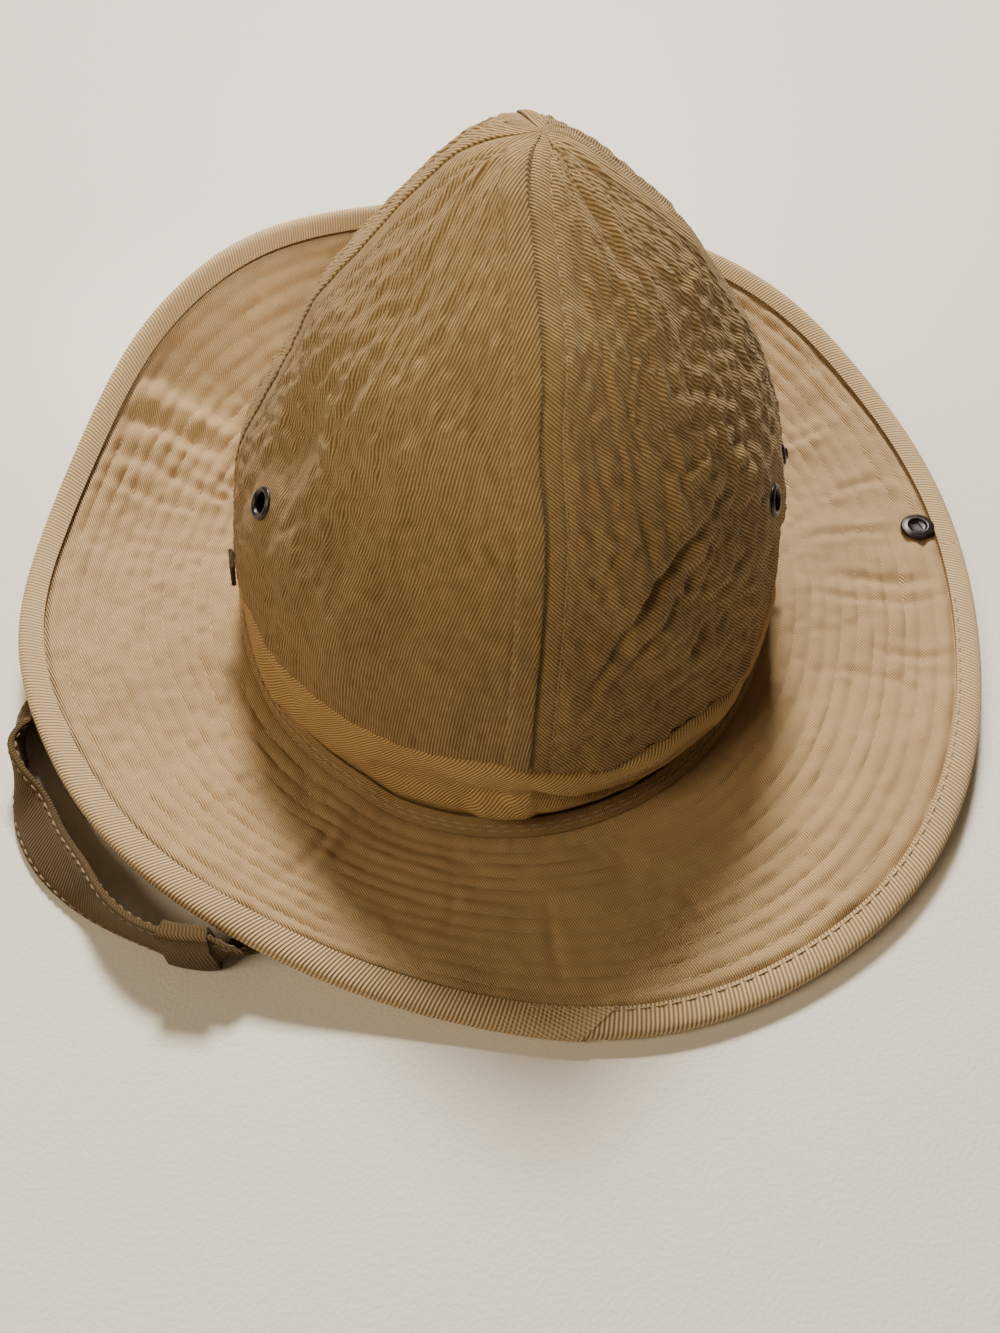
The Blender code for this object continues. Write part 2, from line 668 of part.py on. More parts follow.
def make_binding():
    """The binding: a folded tape that holds the brim's edge in its slot."""
    azimuth = ring_azimuths()
    slot = BRIM_CLOTH / 2 + GAP
    face = slot + BINDING_CLOTH
    section = (
        (BINDING_WIDTH, face),
        (BINDING_ROUND, face * 0.78),
        (0.0, 0.0),
        (BINDING_ROUND, -face * 0.78),
        (BINDING_WIDTH, -face),
        (BINDING_WIDTH, -slot),
        (BINDING_CLOTH, -slot),
        (BINDING_CLOTH, slot),
        (BINDING_WIDTH, slot),
    )
    rows = []
    for inwards, height in section:
        point, _, up = brim_frame(azimuth, edge_share(azimuth, inwards))
        rows.append(point + up * height)
    mesh = grid_mesh("brim_binding", np.array(rows), closed_across=True, closed_along=True)
    mesh.flip_normals()
    return add_object("brim_binding", mesh, binding_twill)


def make_join():
    """The lapped end of the binding: a slanting patch on its top, thickest at the lap."""
    inwards = np.array([JOIN_INSET, BINDING_WIDTH / 2, BINDING_WIDTH - JOIN_INSET])[:, None]
    along = np.linspace(0, 1, JOIN_COLUMNS)[None, :]
    slant = JOIN_SLANT * (inwards / BINDING_WIDTH)
    azimuth = np.radians(JOIN_AZIMUTH + slant - JOIN_SPAN * (1 - along))
    point, _, up = brim_frame(azimuth, edge_share(azimuth, inwards))
    seat = BRIM_CLOTH / 2 + GAP + BINDING_CLOTH + GAP
    thickness = JOIN_CLOTH * (1 + along) / 2 + 0 * inwards
    outer = point + up * (seat + thickness)[..., None]
    inner = point + up * seat
    return add_object("binding_join", wall_mesh("binding_join", outer, inner, False), binding_twill)


def strap_stations():
    """How far along the plan of its route each of the strap's points is."""
    x = table_column(STRAP_ROUTE, "x")
    y = table_column(STRAP_ROUTE, "y")
    return x, y, np.concatenate([[0], np.cumsum(np.hypot(np.diff(x), np.diff(y)))])


def strap_line():
    """The strap's middle line at even steps, with the way along it and across its width.

    A smooth curve through the route's points. The height is what the tilted strap needs to
    touch the ground with its lower edge. Both ways are taken square to the curve's plan.
    """
    x, y, stations = strap_stations()
    count = int(round(stations[-1] / STRAP_STEP)) + 1
    place = np.linspace(0, stations[-1], count)
    turn = np.radians(smooth_curve(stations, table_column(STRAP_ROUTE, "turn"), place))
    turn = np.clip(turn, 0, np.pi)
    plan = np.stack([smooth_curve(stations, x, place), smooth_curve(stations, y, place)], axis=-1)
    height = STRAP_WIDTH / 2 * np.sin(turn) + STRAP_CLOTH / 2 * np.abs(np.cos(turn)) + STRAP_FLOAT
    height = height + np.maximum(smooth_curve(stations, table_column(STRAP_ROUTE, "lift"), place), 0)
    line = np.concatenate([plan + HEAD_MIDDLE, height[:, None]], axis=-1)
    ahead = np.gradient(line, axis=0) * np.array([1, 1, 0])
    ahead /= np.linalg.norm(ahead, axis=-1, keepdims=True)
    left = np.stack([-ahead[:, 1], ahead[:, 0], 0 * turn], axis=-1)
    left /= np.linalg.norm(left, axis=-1, keepdims=True)
    across = left * np.cos(turn)[:, None] + np.array([0, 0, 1]) * np.sin(turn)[:, None]
    return line, ahead, across


def section_corners(line, across, face, width, cloth):
    """Corners of an oblong section, width by cloth, at each step of the strap's line."""
    corners = ((-1, -1), (1, -1), (1, 1), (-1, 1))
    rows = [line + across * wide * width / 2 + face * high * cloth / 2 for wide, high in corners]
    return np.stack(rows, axis=1)


def make_strap():
    """The chin strap: a flat band of folded cloth swept along its line."""
    line, ahead, across = strap_line()
    grid = section_corners(line, across, np.cross(ahead, across), STRAP_WIDTH, STRAP_CLOTH)
    mesh = grid_mesh("chin_strap", grid, closed_across=True)
    shape = bmesh.new()
    shape.from_mesh(mesh)
    bmesh.ops.holes_fill(shape, edges=[edge for edge in shape.edges if edge.is_boundary])
    bmesh.ops.recalc_face_normals(shape, faces=shape.faces)
    shape.to_mesh(mesh)
    shape.free()
    return add_object("chin_strap", mesh, strap_twill, 30)


def make_keeper():
    """The keeper: a sleeve of cloth round the strap, open at both ends."""
    line, ahead, across = strap_line()
    steps = np.linalg.norm(np.diff(line, axis=0), axis=-1)
    run = np.concatenate([[0], np.cumsum(steps)])
    _, _, route = strap_stations()
    middle = np.interp(route[KEEPER_POINT] / route[-1], np.linspace(0, 1, len(run)), run)
    half = KEEPER_LENGTH / 2
    inside = run[(run > middle - half) & (run < middle + half)]
    stations = np.concatenate([[middle - half], inside, [middle + half]])
    centre, forward, side = (
        np.stack([np.interp(stations, run, values[:, axis]) for axis in range(3)], axis=-1)
        for values in (line, ahead, across)
    )
    face = np.cross(forward, side)
    width = STRAP_WIDTH + 2 * KEEPER_GAP
    cloth = STRAP_CLOTH + 2 * KEEPER_GAP
    wall = 2 * KEEPER_CLOTH
    outer = section_corners(centre, side, face, width + wall, cloth + wall)
    inner = section_corners(centre, side, face, width, cloth)
    return add_object("strap_keeper", wall_mesh("strap_keeper", outer, inner, True), strap_twill, 30)


def make_eyelet(name, azimuth, height, gore):
    """A vent eyelet: a flanged barrel through the cloth of its gore."""
    matrix = crown_matrix(azimuth, height)
    rim = EYELET_WIDTH / 2
    bore = EYELET_BORE / 2
    barrel = EYELET_BARREL / 2
    outside = FITTING_GAP
    inside = -CROWN_CLOTH - FITTING_GAP
    profile = (
        (bore, inside - EYELET_RIM),
        (bore, outside + EYELET_RIM / 2),
        (bore + EYELET_RIM / 2, outside + EYELET_RIM),
        (rim - EYELET_RIM / 2, outside + EYELET_RIM),
        (rim, outside),
        (barrel, outside),
        (barrel, inside),
        (rim - EYELET_RIM / 2, inside),
        (rim - EYELET_RIM / 2, inside - EYELET_RIM),
    )
    add_turned(name, profile, matrix, gunmetal)
    hole = matrix @ Matrix.Translation((0, 0, -CROWN_CLOTH / 2))
    cut(gore, add_cutter(name + "_hole", barrel + FITTING_GAP, CROWN_CLOTH * 5, hole))


def make_snap(brim):
    """The brim's press stud: socket with its post on top, cap on the underside."""
    azimuth = np.array([math.radians(SNAP_AZIMUTH)])
    share = edge_share(azimuth, SNAP_EDGE_DISTANCE)
    point, along, up = (value[0] for value in brim_frame(azimuth, share))
    matrix = surface_matrix(point, up, along)
    radius = SNAP_WIDTH / 2
    post = SNAP_POST / 2
    top = BRIM_CLOTH / 2 + FITTING_GAP
    socket_profile = (
        (0.0, -top),
        (0.0, top + SNAP_RIM * 0.5),
        (radius * 0.50, top + SNAP_RIM * 0.5),
        (radius * 0.62, top + SNAP_RIM),
        (radius * 0.86, top + SNAP_RIM),
        (radius, top + SNAP_RIM * 0.4),
        (radius, top),
        (post, top),
        (post, -top),
    )
    socket = add_turned("snap_socket", socket_profile, matrix, gunmetal)
    slot_mesh = bpy.data.meshes.new("snap_slot")
    shape = bmesh.new()
    bmesh.ops.create_cube(shape, size=1.0)
    bmesh.ops.scale(shape, vec=(SNAP_SLOT_LENGTH, SNAP_SLOT_WIDTH, SNAP_RIM), verts=shape.verts)
    shape.to_mesh(slot_mesh)
    shape.free()
    slot = bpy.data.objects.new("snap_slot", slot_mesh)
    slot.matrix_world = matrix @ Matrix.Translation((0, 0, top + SNAP_RIM * 0.7))
    slot.display_type = "WIRE"
    slot.hide_render = True
    cutters.objects.link(slot)
    cut(socket, slot)
    low = -top - GAP / 2
    cap_profile = (
        (0.0, low - SNAP_RIM),
        (0.0, low),
        (radius, low),
        (radius, low - SNAP_RIM / 2),
        (radius * 0.7, low - SNAP_RIM),
    )
    add_turned("snap_cap", cap_profile, matrix, gunmetal)
    cut(brim, add_cutter("snap_hole", post + FITTING_GAP, BRIM_CLOTH * 5, matrix))


def make_stud():
    """The crown's half of the press stud: a low base with a round knob."""
    matrix = crown_matrix(STUD_AZIMUTH, STUD_HEIGHT)
    base = STUD_BASE_WIDTH / 2
    knob = STUD_KNOB_WIDTH / 2
    seat = FITTING_GAP
    rim = SNAP_RIM / 2
    profile = (
        (0.0, seat),
        (base, seat),
        (base, seat + rim / 2),
        (base * 0.8, seat + rim),
        (knob * 0.8, seat + rim),
        (knob, seat + STUD_KNOB_HEIGHT * 0.7),
        (knob * 0.6, seat + STUD_KNOB_HEIGHT),
        (0.0, seat + STUD_KNOB_HEIGHT),
    )
    add_turned("snap_stud", profile, matrix, gunmetal)


def make_tab():
    """The small dark tab over the left seam, just where band and crown meet."""
    matrix = crown_matrix(TAB_AZIMUTH, TAB_CENTRE)
    mesh = bpy.data.meshes.new("side_tab")
    shape = bmesh.new()
    bmesh.ops.create_cube(shape, size=1.0)
    bmesh.ops.scale(shape, vec=(TAB_HEIGHT, TAB_WIDTH, TAB_CLOTH), verts=shape.verts)
    shape.to_mesh(mesh)
    shape.free()
    piece = add_object("side_tab", mesh, tab_cloth)
    lift = FITTING_GAP + TAB_CLOTH / 2
    piece.matrix_world = matrix @ Matrix.Translation((0, 0, lift))
    bevel = piece.modifiers.new("soft_edges", "BEVEL")
    bevel.width = TAB_CLOTH / 4
    bevel.segments = 1


gores = {
    "crown_gore_back_right": make_gore("crown_gore_back_right", 0),
    "crown_gore_back_left": make_gore("crown_gore_back_left", 1),
    "crown_gore_front_left": make_gore("crown_gore_front_left", 2),
    "crown_gore_front_right": make_gore("crown_gore_front_right", 3),
}
make_band()
make_tape()
hat_brim = make_brim()
make_binding()
make_join()
make_strap()
make_keeper()
for eyelet, (azimuth, height) in EYELETS.items():
    side = "crown_gore_front_left" if azimuth < 270 else "crown_gore_front_right"
    make_eyelet(eyelet, azimuth, height, gores[side])
make_snap(hat_brim)
make_stud()
make_tab()
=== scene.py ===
"""Looks of the soft bush hat: twill, quilting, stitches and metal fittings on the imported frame."""
import math
from collections import namedtuple

import bmesh
import bpy
import numpy as np
from mathutils import Euler, Matrix


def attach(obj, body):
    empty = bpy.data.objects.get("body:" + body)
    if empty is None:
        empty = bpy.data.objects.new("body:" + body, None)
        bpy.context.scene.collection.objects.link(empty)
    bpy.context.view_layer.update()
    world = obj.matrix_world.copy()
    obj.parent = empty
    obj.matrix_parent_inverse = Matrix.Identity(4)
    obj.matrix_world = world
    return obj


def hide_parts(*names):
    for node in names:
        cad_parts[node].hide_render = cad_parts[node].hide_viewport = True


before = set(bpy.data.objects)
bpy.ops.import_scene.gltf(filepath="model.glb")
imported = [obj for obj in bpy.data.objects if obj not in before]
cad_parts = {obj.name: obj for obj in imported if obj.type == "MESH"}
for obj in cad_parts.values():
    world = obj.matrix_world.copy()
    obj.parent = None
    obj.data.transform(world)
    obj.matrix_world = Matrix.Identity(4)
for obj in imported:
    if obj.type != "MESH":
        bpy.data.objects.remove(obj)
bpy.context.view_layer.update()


# Camera. A phone held over the front of the hat, looking steeply down at it.
CAMERA_PLACE = (-0.0014, -0.2280, 0.2590)
CAMERA_PITCH = 54.3
CAMERA_ROLL = 0.3
CAMERA_LENS = 27.09
HEAD_WIDTH = 0.1752
HEAD_LENGTH = 0.2060
BRIM_WIDTH = 0.0670
BAND_HEIGHT = 0.0300
RimSection = namedtuple("RimSection", "azimuth reach lift middle band")
RIM_SECTIONS = (
    RimSection(0, 0.975, 0.118, 0.42, 0.96),
    RimSection(15, 0.980, 0.163, 0.42, 0.98),
    RimSection(30, 0.966, 0.252, 0.40, 1.00),
    RimSection(45, 0.948, 0.387, 0.38, 1.00),
    RimSection(60, 0.882, 0.491, 0.37, 1.00),
    RimSection(75, 0.800, 0.566, 0.36, 1.00),
    RimSection(90, 0.734, 0.640, 0.36, 1.00),
    RimSection(105, 0.666, 0.730, 0.36, 1.00),
    RimSection(120, 0.681, 0.790, 0.36, 1.00),
    RimSection(135, 0.718, 0.804, 0.36, 1.00),
    RimSection(150, 0.852, 0.610, 0.37, 1.00),
    RimSection(165, 0.913, 0.372, 0.40, 0.98),
    RimSection(180, 0.966, 0.222, 0.42, 0.98),
    RimSection(195, 0.985, 0.200, 0.42, 1.03),
    RimSection(210, 0.925, 0.200, 0.42, 1.13),
    RimSection(225, 0.860, 0.215, 0.42, 1.13),
    RimSection(240, 0.793, 0.212, 0.42, 1.15),
    RimSection(255, 0.755, 0.095, 0.45, 1.22),
    RimSection(270, 0.797, 0.034, 0.62, 1.19),
    RimSection(285, 0.896, 0.032, 0.62, 0.94),
    RimSection(300, 0.963, 0.046, 0.58, 0.91),
    RimSection(315, 1.007, 0.073, 0.50, 0.81),
    RimSection(330, 0.994, 0.103, 0.42, 0.79),
    RimSection(345, 0.973, 0.103, 0.42, 0.89),
)


def table_column(rows, column):
    """One named column of a table as an array."""
    return np.array([getattr(row, column) for row in rows], dtype=float)


def ring_value(column, azimuth):
    """A column of RIM_SECTIONS at any azimuth: the closed cubic spline through its even rows."""
    values = table_column(RIM_SECTIONS, column)
    count = len(values)
    ring = np.roll(np.eye(count), 1, axis=1) + np.roll(np.eye(count), -1, axis=1)
    turn = np.roll(values, -1) - 2 * values + np.roll(values, 1)
    bend = np.linalg.solve((4 * np.eye(count) + ring) / 6, turn)
    place = np.mod(azimuth, 2 * np.pi) * count / (2 * np.pi)
    low = np.floor(place).astype(int) % count
    high = (low + 1) % count
    part = place - np.floor(place)
    rest = 1 - part
    straight = rest * values[low] + part * values[high]
    return straight + (rest**3 - rest) * bend[low] / 6 + (part**3 - part) * bend[high] / 6


def unit(ways):
    """The same ways, each one metre long."""
    return ways / np.linalg.norm(ways, axis=-1, keepdims=True)


def opening_point(azimuth):
    """Foot of the seam tape on the oval round the head opening, and the way out: the oval's
    point at that azimuth and its outward normal."""
    foot = np.stack([HEAD_WIDTH / 2 * np.cos(azimuth), HEAD_LENGTH / 2 * np.sin(azimuth)], axis=-1)
    out = np.stack([np.cos(azimuth) / HEAD_WIDTH, np.sin(azimuth) / HEAD_LENGTH], axis=-1)
    return foot, unit(out)


def outline_middle():
    """Middle of the brim's outline: half way between its lowest and highest x and y."""
    azimuth = np.linspace(0, 2 * np.pi, 1440, endpoint=False)
    foot, out = opening_point(azimuth)
    edge = foot + out * (ring_value("reach", azimuth) * BRIM_WIDTH)[:, None]
    return (edge.max(axis=0) + edge.min(axis=0)) / 2


HEAD_MIDDLE = -outline_middle()
camera = bpy.data.objects.new("camera", bpy.data.cameras.new("camera"))
camera.data.lens = CAMERA_LENS
camera.data.sensor_width = 36
camera.location = np.array(CAMERA_PLACE) + np.append(HEAD_MIDDLE, 0)
tilt = Euler((math.radians(90 - CAMERA_PITCH), 0, 0)).to_matrix()
camera.rotation_euler = (tilt @ Matrix.Rotation(math.radians(-CAMERA_ROLL), 3, "Z")).to_euler()
bpy.context.scene.collection.objects.link(camera)
bpy.context.scene.camera = camera


# Chin strap. A folded strip of twill, 15 mm wide, stitched along both edges. Both ends are
# sewn under the band seam; the loop lies on the table and runs through a cloth keeper.
STRAP_WIDTH = 0.0150
STRAP_CLOTH = 0.0024
STRAP_FLOAT = 0.0002
# Painted shade: the strap and keeper are coloured darker than the crown's cloth, for the shade on
# their faces.
STRAP_SHADED_COLOUR = (0.105, 0.064, 0.024)
StrapPoint = namedtuple("StrapPoint", "x y turn lift")
STRAP_ROUTE = (
    StrapPoint(-0.0740, -0.0190, 0, 0.0),
    StrapPoint(-0.0880, -0.0235, 0, 0.0),
    StrapPoint(-0.1040, -0.0285, 0, 0.0),
    StrapPoint(-0.1170, -0.0340, 4, 0.0),
    StrapPoint(-0.1290, -0.0410, 12, 0.0),
    StrapPoint(-0.1370, -0.0500, 14, 0.0),
    StrapPoint(-0.1415, -0.0605, 20, 0.0),
    StrapPoint(-0.1424, -0.0690, 56, 0.0),
    StrapPoint(-0.1418, -0.0770, 84, 0.0),
    StrapPoint(-0.1390, -0.0865, 66, 0.0),
    StrapPoint(-0.1335, -0.0960, 38, 0.0),
    StrapPoint(-0.1260, -0.1070, 36, 0.0),
    StrapPoint(-0.1160, -0.1170, 48, 0.0),
    StrapPoint(-0.1045, -0.1265, 74, 0.0003),
    StrapPoint(-0.0940, -0.1325, 86, 0.0012),
    StrapPoint(-0.0875, -0.1351, 86, 0.0018),
    StrapPoint(-0.0808, -0.1365, 86, 0.0018),
    StrapPoint(-0.0770, -0.1368, 86, 0.0018),
    StrapPoint(-0.0738, -0.1367, 92, 0.0016),
    StrapPoint(-0.0692, -0.1348, 136, 0.0004),
    StrapPoint(-0.0660, -0.1295, 168, 0.0),
    StrapPoint(-0.0642, -0.1210, 178, 0.0),
    StrapPoint(-0.0625, -0.1110, 180, 0.0),
    StrapPoint(-0.0600, -0.0980, 180, 0.0),
    StrapPoint(-0.0550, -0.0860, 180, 0.0),
    StrapPoint(-0.0460, -0.0745, 180, 0.0),
    StrapPoint(-0.0320, -0.0610, 180, 0.0),
    StrapPoint(-0.0120, -0.0440, 180, 0.0),
    StrapPoint(0.0120, -0.0290, 180, 0.0),
    StrapPoint(0.0380, -0.0170, 180, 0.0),
    StrapPoint(0.0620, -0.0090, 180, 0.0),
    StrapPoint(0.0850, -0.0040, 180, 0.0),
)


def smooth_curve(stations, values, place):
    """A smooth open curve through values at rising stations: cubic pieces whose slopes are
    those between the neighbours of each station."""
    slopes = np.gradient(values, stations)
    low = np.clip(np.searchsorted(stations, place, side="right") - 1, 0, len(stations) - 2)
    span = stations[low + 1] - stations[low]
    part = (place - stations[low]) / span
    rest = 1 - part
    value = (1 + 2 * part) * rest**2 * values[low] + part**2 * (3 - 2 * part) * values[low + 1]
    return value + part * rest * span * (rest * slopes[low] - part * slopes[low + 1])


def smooth_step(value):
    """Rises from 0 to 1 as the value does, level at both ends."""
    value = np.clip(value, 0, 1)
    return value * value * (3 - 2 * value)


def bell(value):
    """A Gaussian: 1 at 0, and close to 0 from 2 on."""
    return np.exp(-(value**2))


def run_along(points):
    """Length run from the first point of a line to each of its points."""
    return np.concatenate([[0], np.cumsum(np.linalg.norm(np.diff(points, axis=0), axis=-1))])


def points_at(lengths, run, values):
    """Points of a dense line, or ways kept for them, at given lengths along it."""
    return np.stack([np.interp(lengths, run, column) for column in values.T], axis=-1)


route_plan = np.stack([table_column(STRAP_ROUTE, axis) for axis in "xy"], axis=-1)
route_run = run_along(route_plan)


def strap_line(count):
    """The strap's middle line with the ways across its width and out of its face.

    The height is what the tilted strap needs to touch the table with its lower edge: half its
    width times the sine of its turn, and half its cloth times the cosine.
    """
    place = np.linspace(0, route_run[-1], count)
    turn = np.radians(smooth_curve(route_run, table_column(STRAP_ROUTE, "turn"), place))
    turn = np.clip(turn, 0, np.pi)
    plan = np.stack([smooth_curve(route_run, values, place) for values in route_plan.T], axis=-1)
    height = STRAP_WIDTH / 2 * np.sin(turn) + STRAP_CLOTH / 2 * np.abs(np.cos(turn)) + STRAP_FLOAT
    lift = smooth_curve(route_run, table_column(STRAP_ROUTE, "lift"), place)
    line = np.concatenate([plan + HEAD_MIDDLE, (height + np.maximum(lift, 0))[:, None]], axis=-1)
    ahead = unit(np.gradient(line, axis=0) * np.array([1, 1, 0]))
    left = np.stack([-ahead[:, 1], ahead[:, 0], 0 * turn], axis=-1)
    across = left * np.cos(turn)[:, None] + np.array([0, 0, 1]) * np.sin(turn)[:, None]
    return line, across, np.cross(ahead, across)


def grid_piece(name, grid, ring_across=False, ring_along=False, maps=()):
    """An object from a grid of points, rows by columns, closed on itself where asked.

    Each map is a name and a grid of two numbers for the points, kept as a UV map. A ring's
    last face takes its far corners from the map's own extra column, so that it doesn't wrap.
    """
    rows, columns = grid.shape[:2]
    row, column = np.meshgrid(
        np.arange(rows if ring_along else rows - 1),
        np.arange(columns if ring_across else columns - 1),
        indexing="ij",
    )
    corners = [(row, column), (row, column + 1), (row + 1, column + 1), (row + 1, column)]
    faces = np.stack([(r % rows) * columns + c % columns for r, c in corners], axis=-1)
    mesh = bpy.data.meshes.new(name)
    mesh.from_pydata(grid.reshape(-1, 3).tolist(), [], faces.reshape(-1, 4).tolist())
    for map_name, values in maps:
        corner_values = [values[r % values.shape[0], c % values.shape[1]] for r, c in corners]
        layer = mesh.uv_layers.new(name=map_name)
        layer.uv.foreach_set("vector", np.stack(corner_values, axis=-2).ravel())
    return finish_piece(name, mesh)


def grid_map(rows, columns):
    """Map over a grid: one value to each row, and one to each column."""
    return np.stack(np.meshgrid(rows, columns, indexing="ij"), axis=-1)


def finish_piece(name, mesh):
    """Close a mesh's open ends, turn its faces outwards, smooth it and put it in the scene."""
    shape = bmesh.new()
    shape.from_mesh(mesh)
    bmesh.ops.holes_fill(shape, edges=[edge for edge in shape.edges if edge.is_boundary])
    bmesh.ops.recalc_face_normals(shape, faces=shape.faces)
    shape.to_mesh(mesh)
    shape.free()
    mesh.shade_smooth()
    mesh.set_sharp_from_angle(angle=math.radians(50))
    piece = bpy.data.objects.new(name, mesh)
    bpy.context.scene.collection.objects.link(piece)
    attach(piece, "root")
    return piece


class Wire:
    """A socket of a material that takes part in arithmetic: each operator adds a Math node."""

    def __init__(self, finish, socket):
        self.finish = finish
        self.socket = socket

    def math(self, operation, *values):
        sockets = dict(enumerate((self, *values)))
        return self.finish.node("ShaderNodeMath", {"operation": operation}, sockets)

    def __add__(self, other):
        return self.math("ADD", other)

    __radd__ = __add__

    def __mul__(self, other):
        return self.math("MULTIPLY", other)

    __rmul__ = __mul__

    def __sub__(self, other):
        return self.math("SUBTRACT", other)

    def __rsub__(self, other):
        return self * -1 + other

    def __truediv__(self, other):
        return self.math("DIVIDE", other)

    def __pow__(self, other):
        return self.math("POWER", other)

    def wave(self):
        """A soft wave from 0 to 1 that repeats with every whole number."""
        return (self * (2 * math.pi)).math("SINE") * 0.5 + 0.5

    def between(self, low, high):
        """0 below low, 1 above high, and even between them."""
        return ((self - low) / (high - low)).math("MAXIMUM", 0.0).math("MINIMUM", 1.0)


class Finish:
    """A material that is put together from nodes."""

    def __init__(self, name, roughness=0.9, sheen=0.05):
        self.material = bpy.data.materials.new(name)
        self.material.use_nodes = True
        self.tree = self.material.node_tree
        self.shader = self.tree.nodes["Principled BSDF"]
        self.shader.inputs["Roughness"].default_value = roughness
        self.shader.inputs["Sheen Weight"].default_value = sheen
        self.shader.inputs["Sheen Roughness"].default_value = 0.6
        self.shader.inputs["Specular IOR Level"].default_value = 0.25

    def node(self, kind, settings=None, sockets=None, output=0):
        """One node: its kind, its settings, and the values or wires of its sockets."""
        made = self.tree.nodes.new(kind)
        for name, value in (settings or {}).items():
            setattr(made, name, value)
        for name, value in (sockets or {}).items():
            self.plug(made.inputs[name], value)
        return Wire(self, made.outputs[output])

    def plug(self, socket, value):
        """Give a socket its wire or its fixed value."""
        if isinstance(value, Wire):
            self.tree.links.new(value.socket, socket)
        else:
            socket.default_value = value

    def surface(self, map_name=None):
        """Wires of x, y and z in metres: those of a UV map, or the object's own."""
        if map_name is None:
            place = self.node("ShaderNodeTexCoord", output=3)
        else:
            place = self.node("ShaderNodeUVMap", {"uv_map": map_name})
        return place, [
            self.node("ShaderNodeSeparateXYZ", None, {0: place}, output) for output in range(3)
        ]

    def clouds(self, place, scale, detail=2.0, roughness=0.5):
        """Soft noise from 0 to 1 over a place, with scale patches to the metre."""
        sockets = {"Vector": place, "Scale": scale, "Detail": detail, "Roughness": roughness}
        return self.node("ShaderNodeTexNoise", None, sockets)

    def mix(self, factor, first, second, blend="MIX"):
        """Two colours mixed by a factor."""
        settings = {"data_type": "RGBA", "blend_type": blend}
        colours = [c if isinstance(c, Wire) else (*c, 1) for c in (first, second)]
        return self.node("ShaderNodeMix", settings, {0: factor, 6: colours[0], 7: colours[1]}, 2)

    def paint(self, colour, height=None, depth=0.0002, strength=1.0, roughness=None):
        """Plug in the colour, and the relief: a height from 0 to 1, depth metres deep."""
        self.plug(self.shader.inputs["Base Color"], colour)
        if roughness is not None:
            self.plug(self.shader.inputs["Roughness"], roughness)
        if height is not None:
            sockets = {"Height": height, "Distance": depth, "Strength": strength}
            self.plug(self.shader.inputs["Normal"], self.node("ShaderNodeBump", None, sockets))
        return self.material


def twill(finish, place, along, across, angle, spacing):
    """Height of a twill weave: ridges that run at an angle and are spacing apart.

    The ridge is a wave of the distance square to its run. It bends a little with slow noise,
    and a finer wave along it breaks it up into its floats.
    """
    turn = math.radians(angle)
    square = along * (-math.sin(turn) / spacing) + across * (math.cos(turn) / spacing)
    run = along * (math.cos(turn) / spacing) + across * (math.sin(turn) / spacing)
    bend = finish.clouds(place, 90.0, 1.0) * 0.35
    ridge = (square + bend).wave()
    floats = (run * 0.8 + square * 0.5).wave()
    return ridge * 0.8 + floats * ridge * 0.2


def cloth_paint(finish, place, weave, light, dark, cast=0.25, scale=28.0):
    """Colour of twill: painted shade in the valleys of the weave and painted highlight on its ridges,
    faded in patches, with fine flecks where the nap is worn."""
    # Painted shade and highlight: the dark colour fills the weave's valleys, the light one its
    # ridges.
    ground = finish.mix(weave.between(0.1, 0.8), dark, light)
    patches = finish.clouds(place, scale, 4.0, 0.6)
    shade = patches * cast + (1.0 - cast * 0.5)
    fleck = finish.clouds(place, 1400.0, 2.0)
    shade = shade * (fleck * 0.24 + 0.88)
    level = finish.node("ShaderNodeCombineXYZ", None, {0: shade, 1: shade, 2: shade})
    return finish.mix(1.0, ground, level, "MULTIPLY")


def twill_cloth(name, angle, spacing, depth, light, dark, cast=0.25, map_name="cloth"):
    """A twill material, its ridges at an angle on the map, spacing apart and depth deep."""
    finish = Finish(name)
    place, (along, across, _) = finish.surface(map_name)
    weave = twill(finish, place, along, across, angle, spacing)
    return finish.paint(cloth_paint(finish, place, weave, light, dark, cast), weave, depth)


def tinted(colour, factor):
    """A colour made lighter or darker by a factor."""
    return tuple(value * factor for value in colour)


def flat_tube(line, across, face, width, cloth, sides, fold=0.0):
    """Grid of a flat strap: a rounded oblong section carried along the line.

    The section is a superellipse of high power. Fold presses in a shallow groove inside both
    edges, where the stitches pull the cloth down.
    """
    angle = np.linspace(0, 2 * np.pi, sides, endpoint=False)
    wide = np.sign(np.cos(angle)) * np.abs(np.cos(angle)) ** 0.28
    high = np.sign(np.sin(angle)) * np.abs(np.sin(angle)) ** 0.45
    groove = 1 - fold * bell((np.abs(wide) - STRAP_STITCH_SHARE) / 0.07)
    section_wide = (wide * width / 2)[:, None]
    section_high = (high * groove * cloth / 2)[:, None]
    return line[:, None] + across[:, None] * section_wide + face[:, None] * section_high


STRAP_ROWS = 420
STRAP_SIDES = 48
STRAP_FOLD = 0.25
STRAP_STITCH_SHARE = 0.84
line, across, face = strap_line(STRAP_ROWS)
run = run_along(line)
tube = flat_tube(line, across, face, STRAP_WIDTH, STRAP_CLOTH, STRAP_SIDES, STRAP_FOLD)
girth = np.linspace(0, 2 * (STRAP_WIDTH + STRAP_CLOTH), STRAP_SIDES + 1)
strap_map = [("cloth", grid_map(run, girth))]
strap = grid_piece("chin_strap_twill", tube, ring_across=True, maps=strap_map)
strap_light, strap_dark = tinted(STRAP_SHADED_COLOUR, 1.35), tinted(STRAP_SHADED_COLOUR, 0.62)
strap_twill = twill_cloth("chin_strap_twill", 62, 0.00085, 0.00022, strap_light, strap_dark)
strap.data.materials.append(strap_twill)
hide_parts("chin_strap")


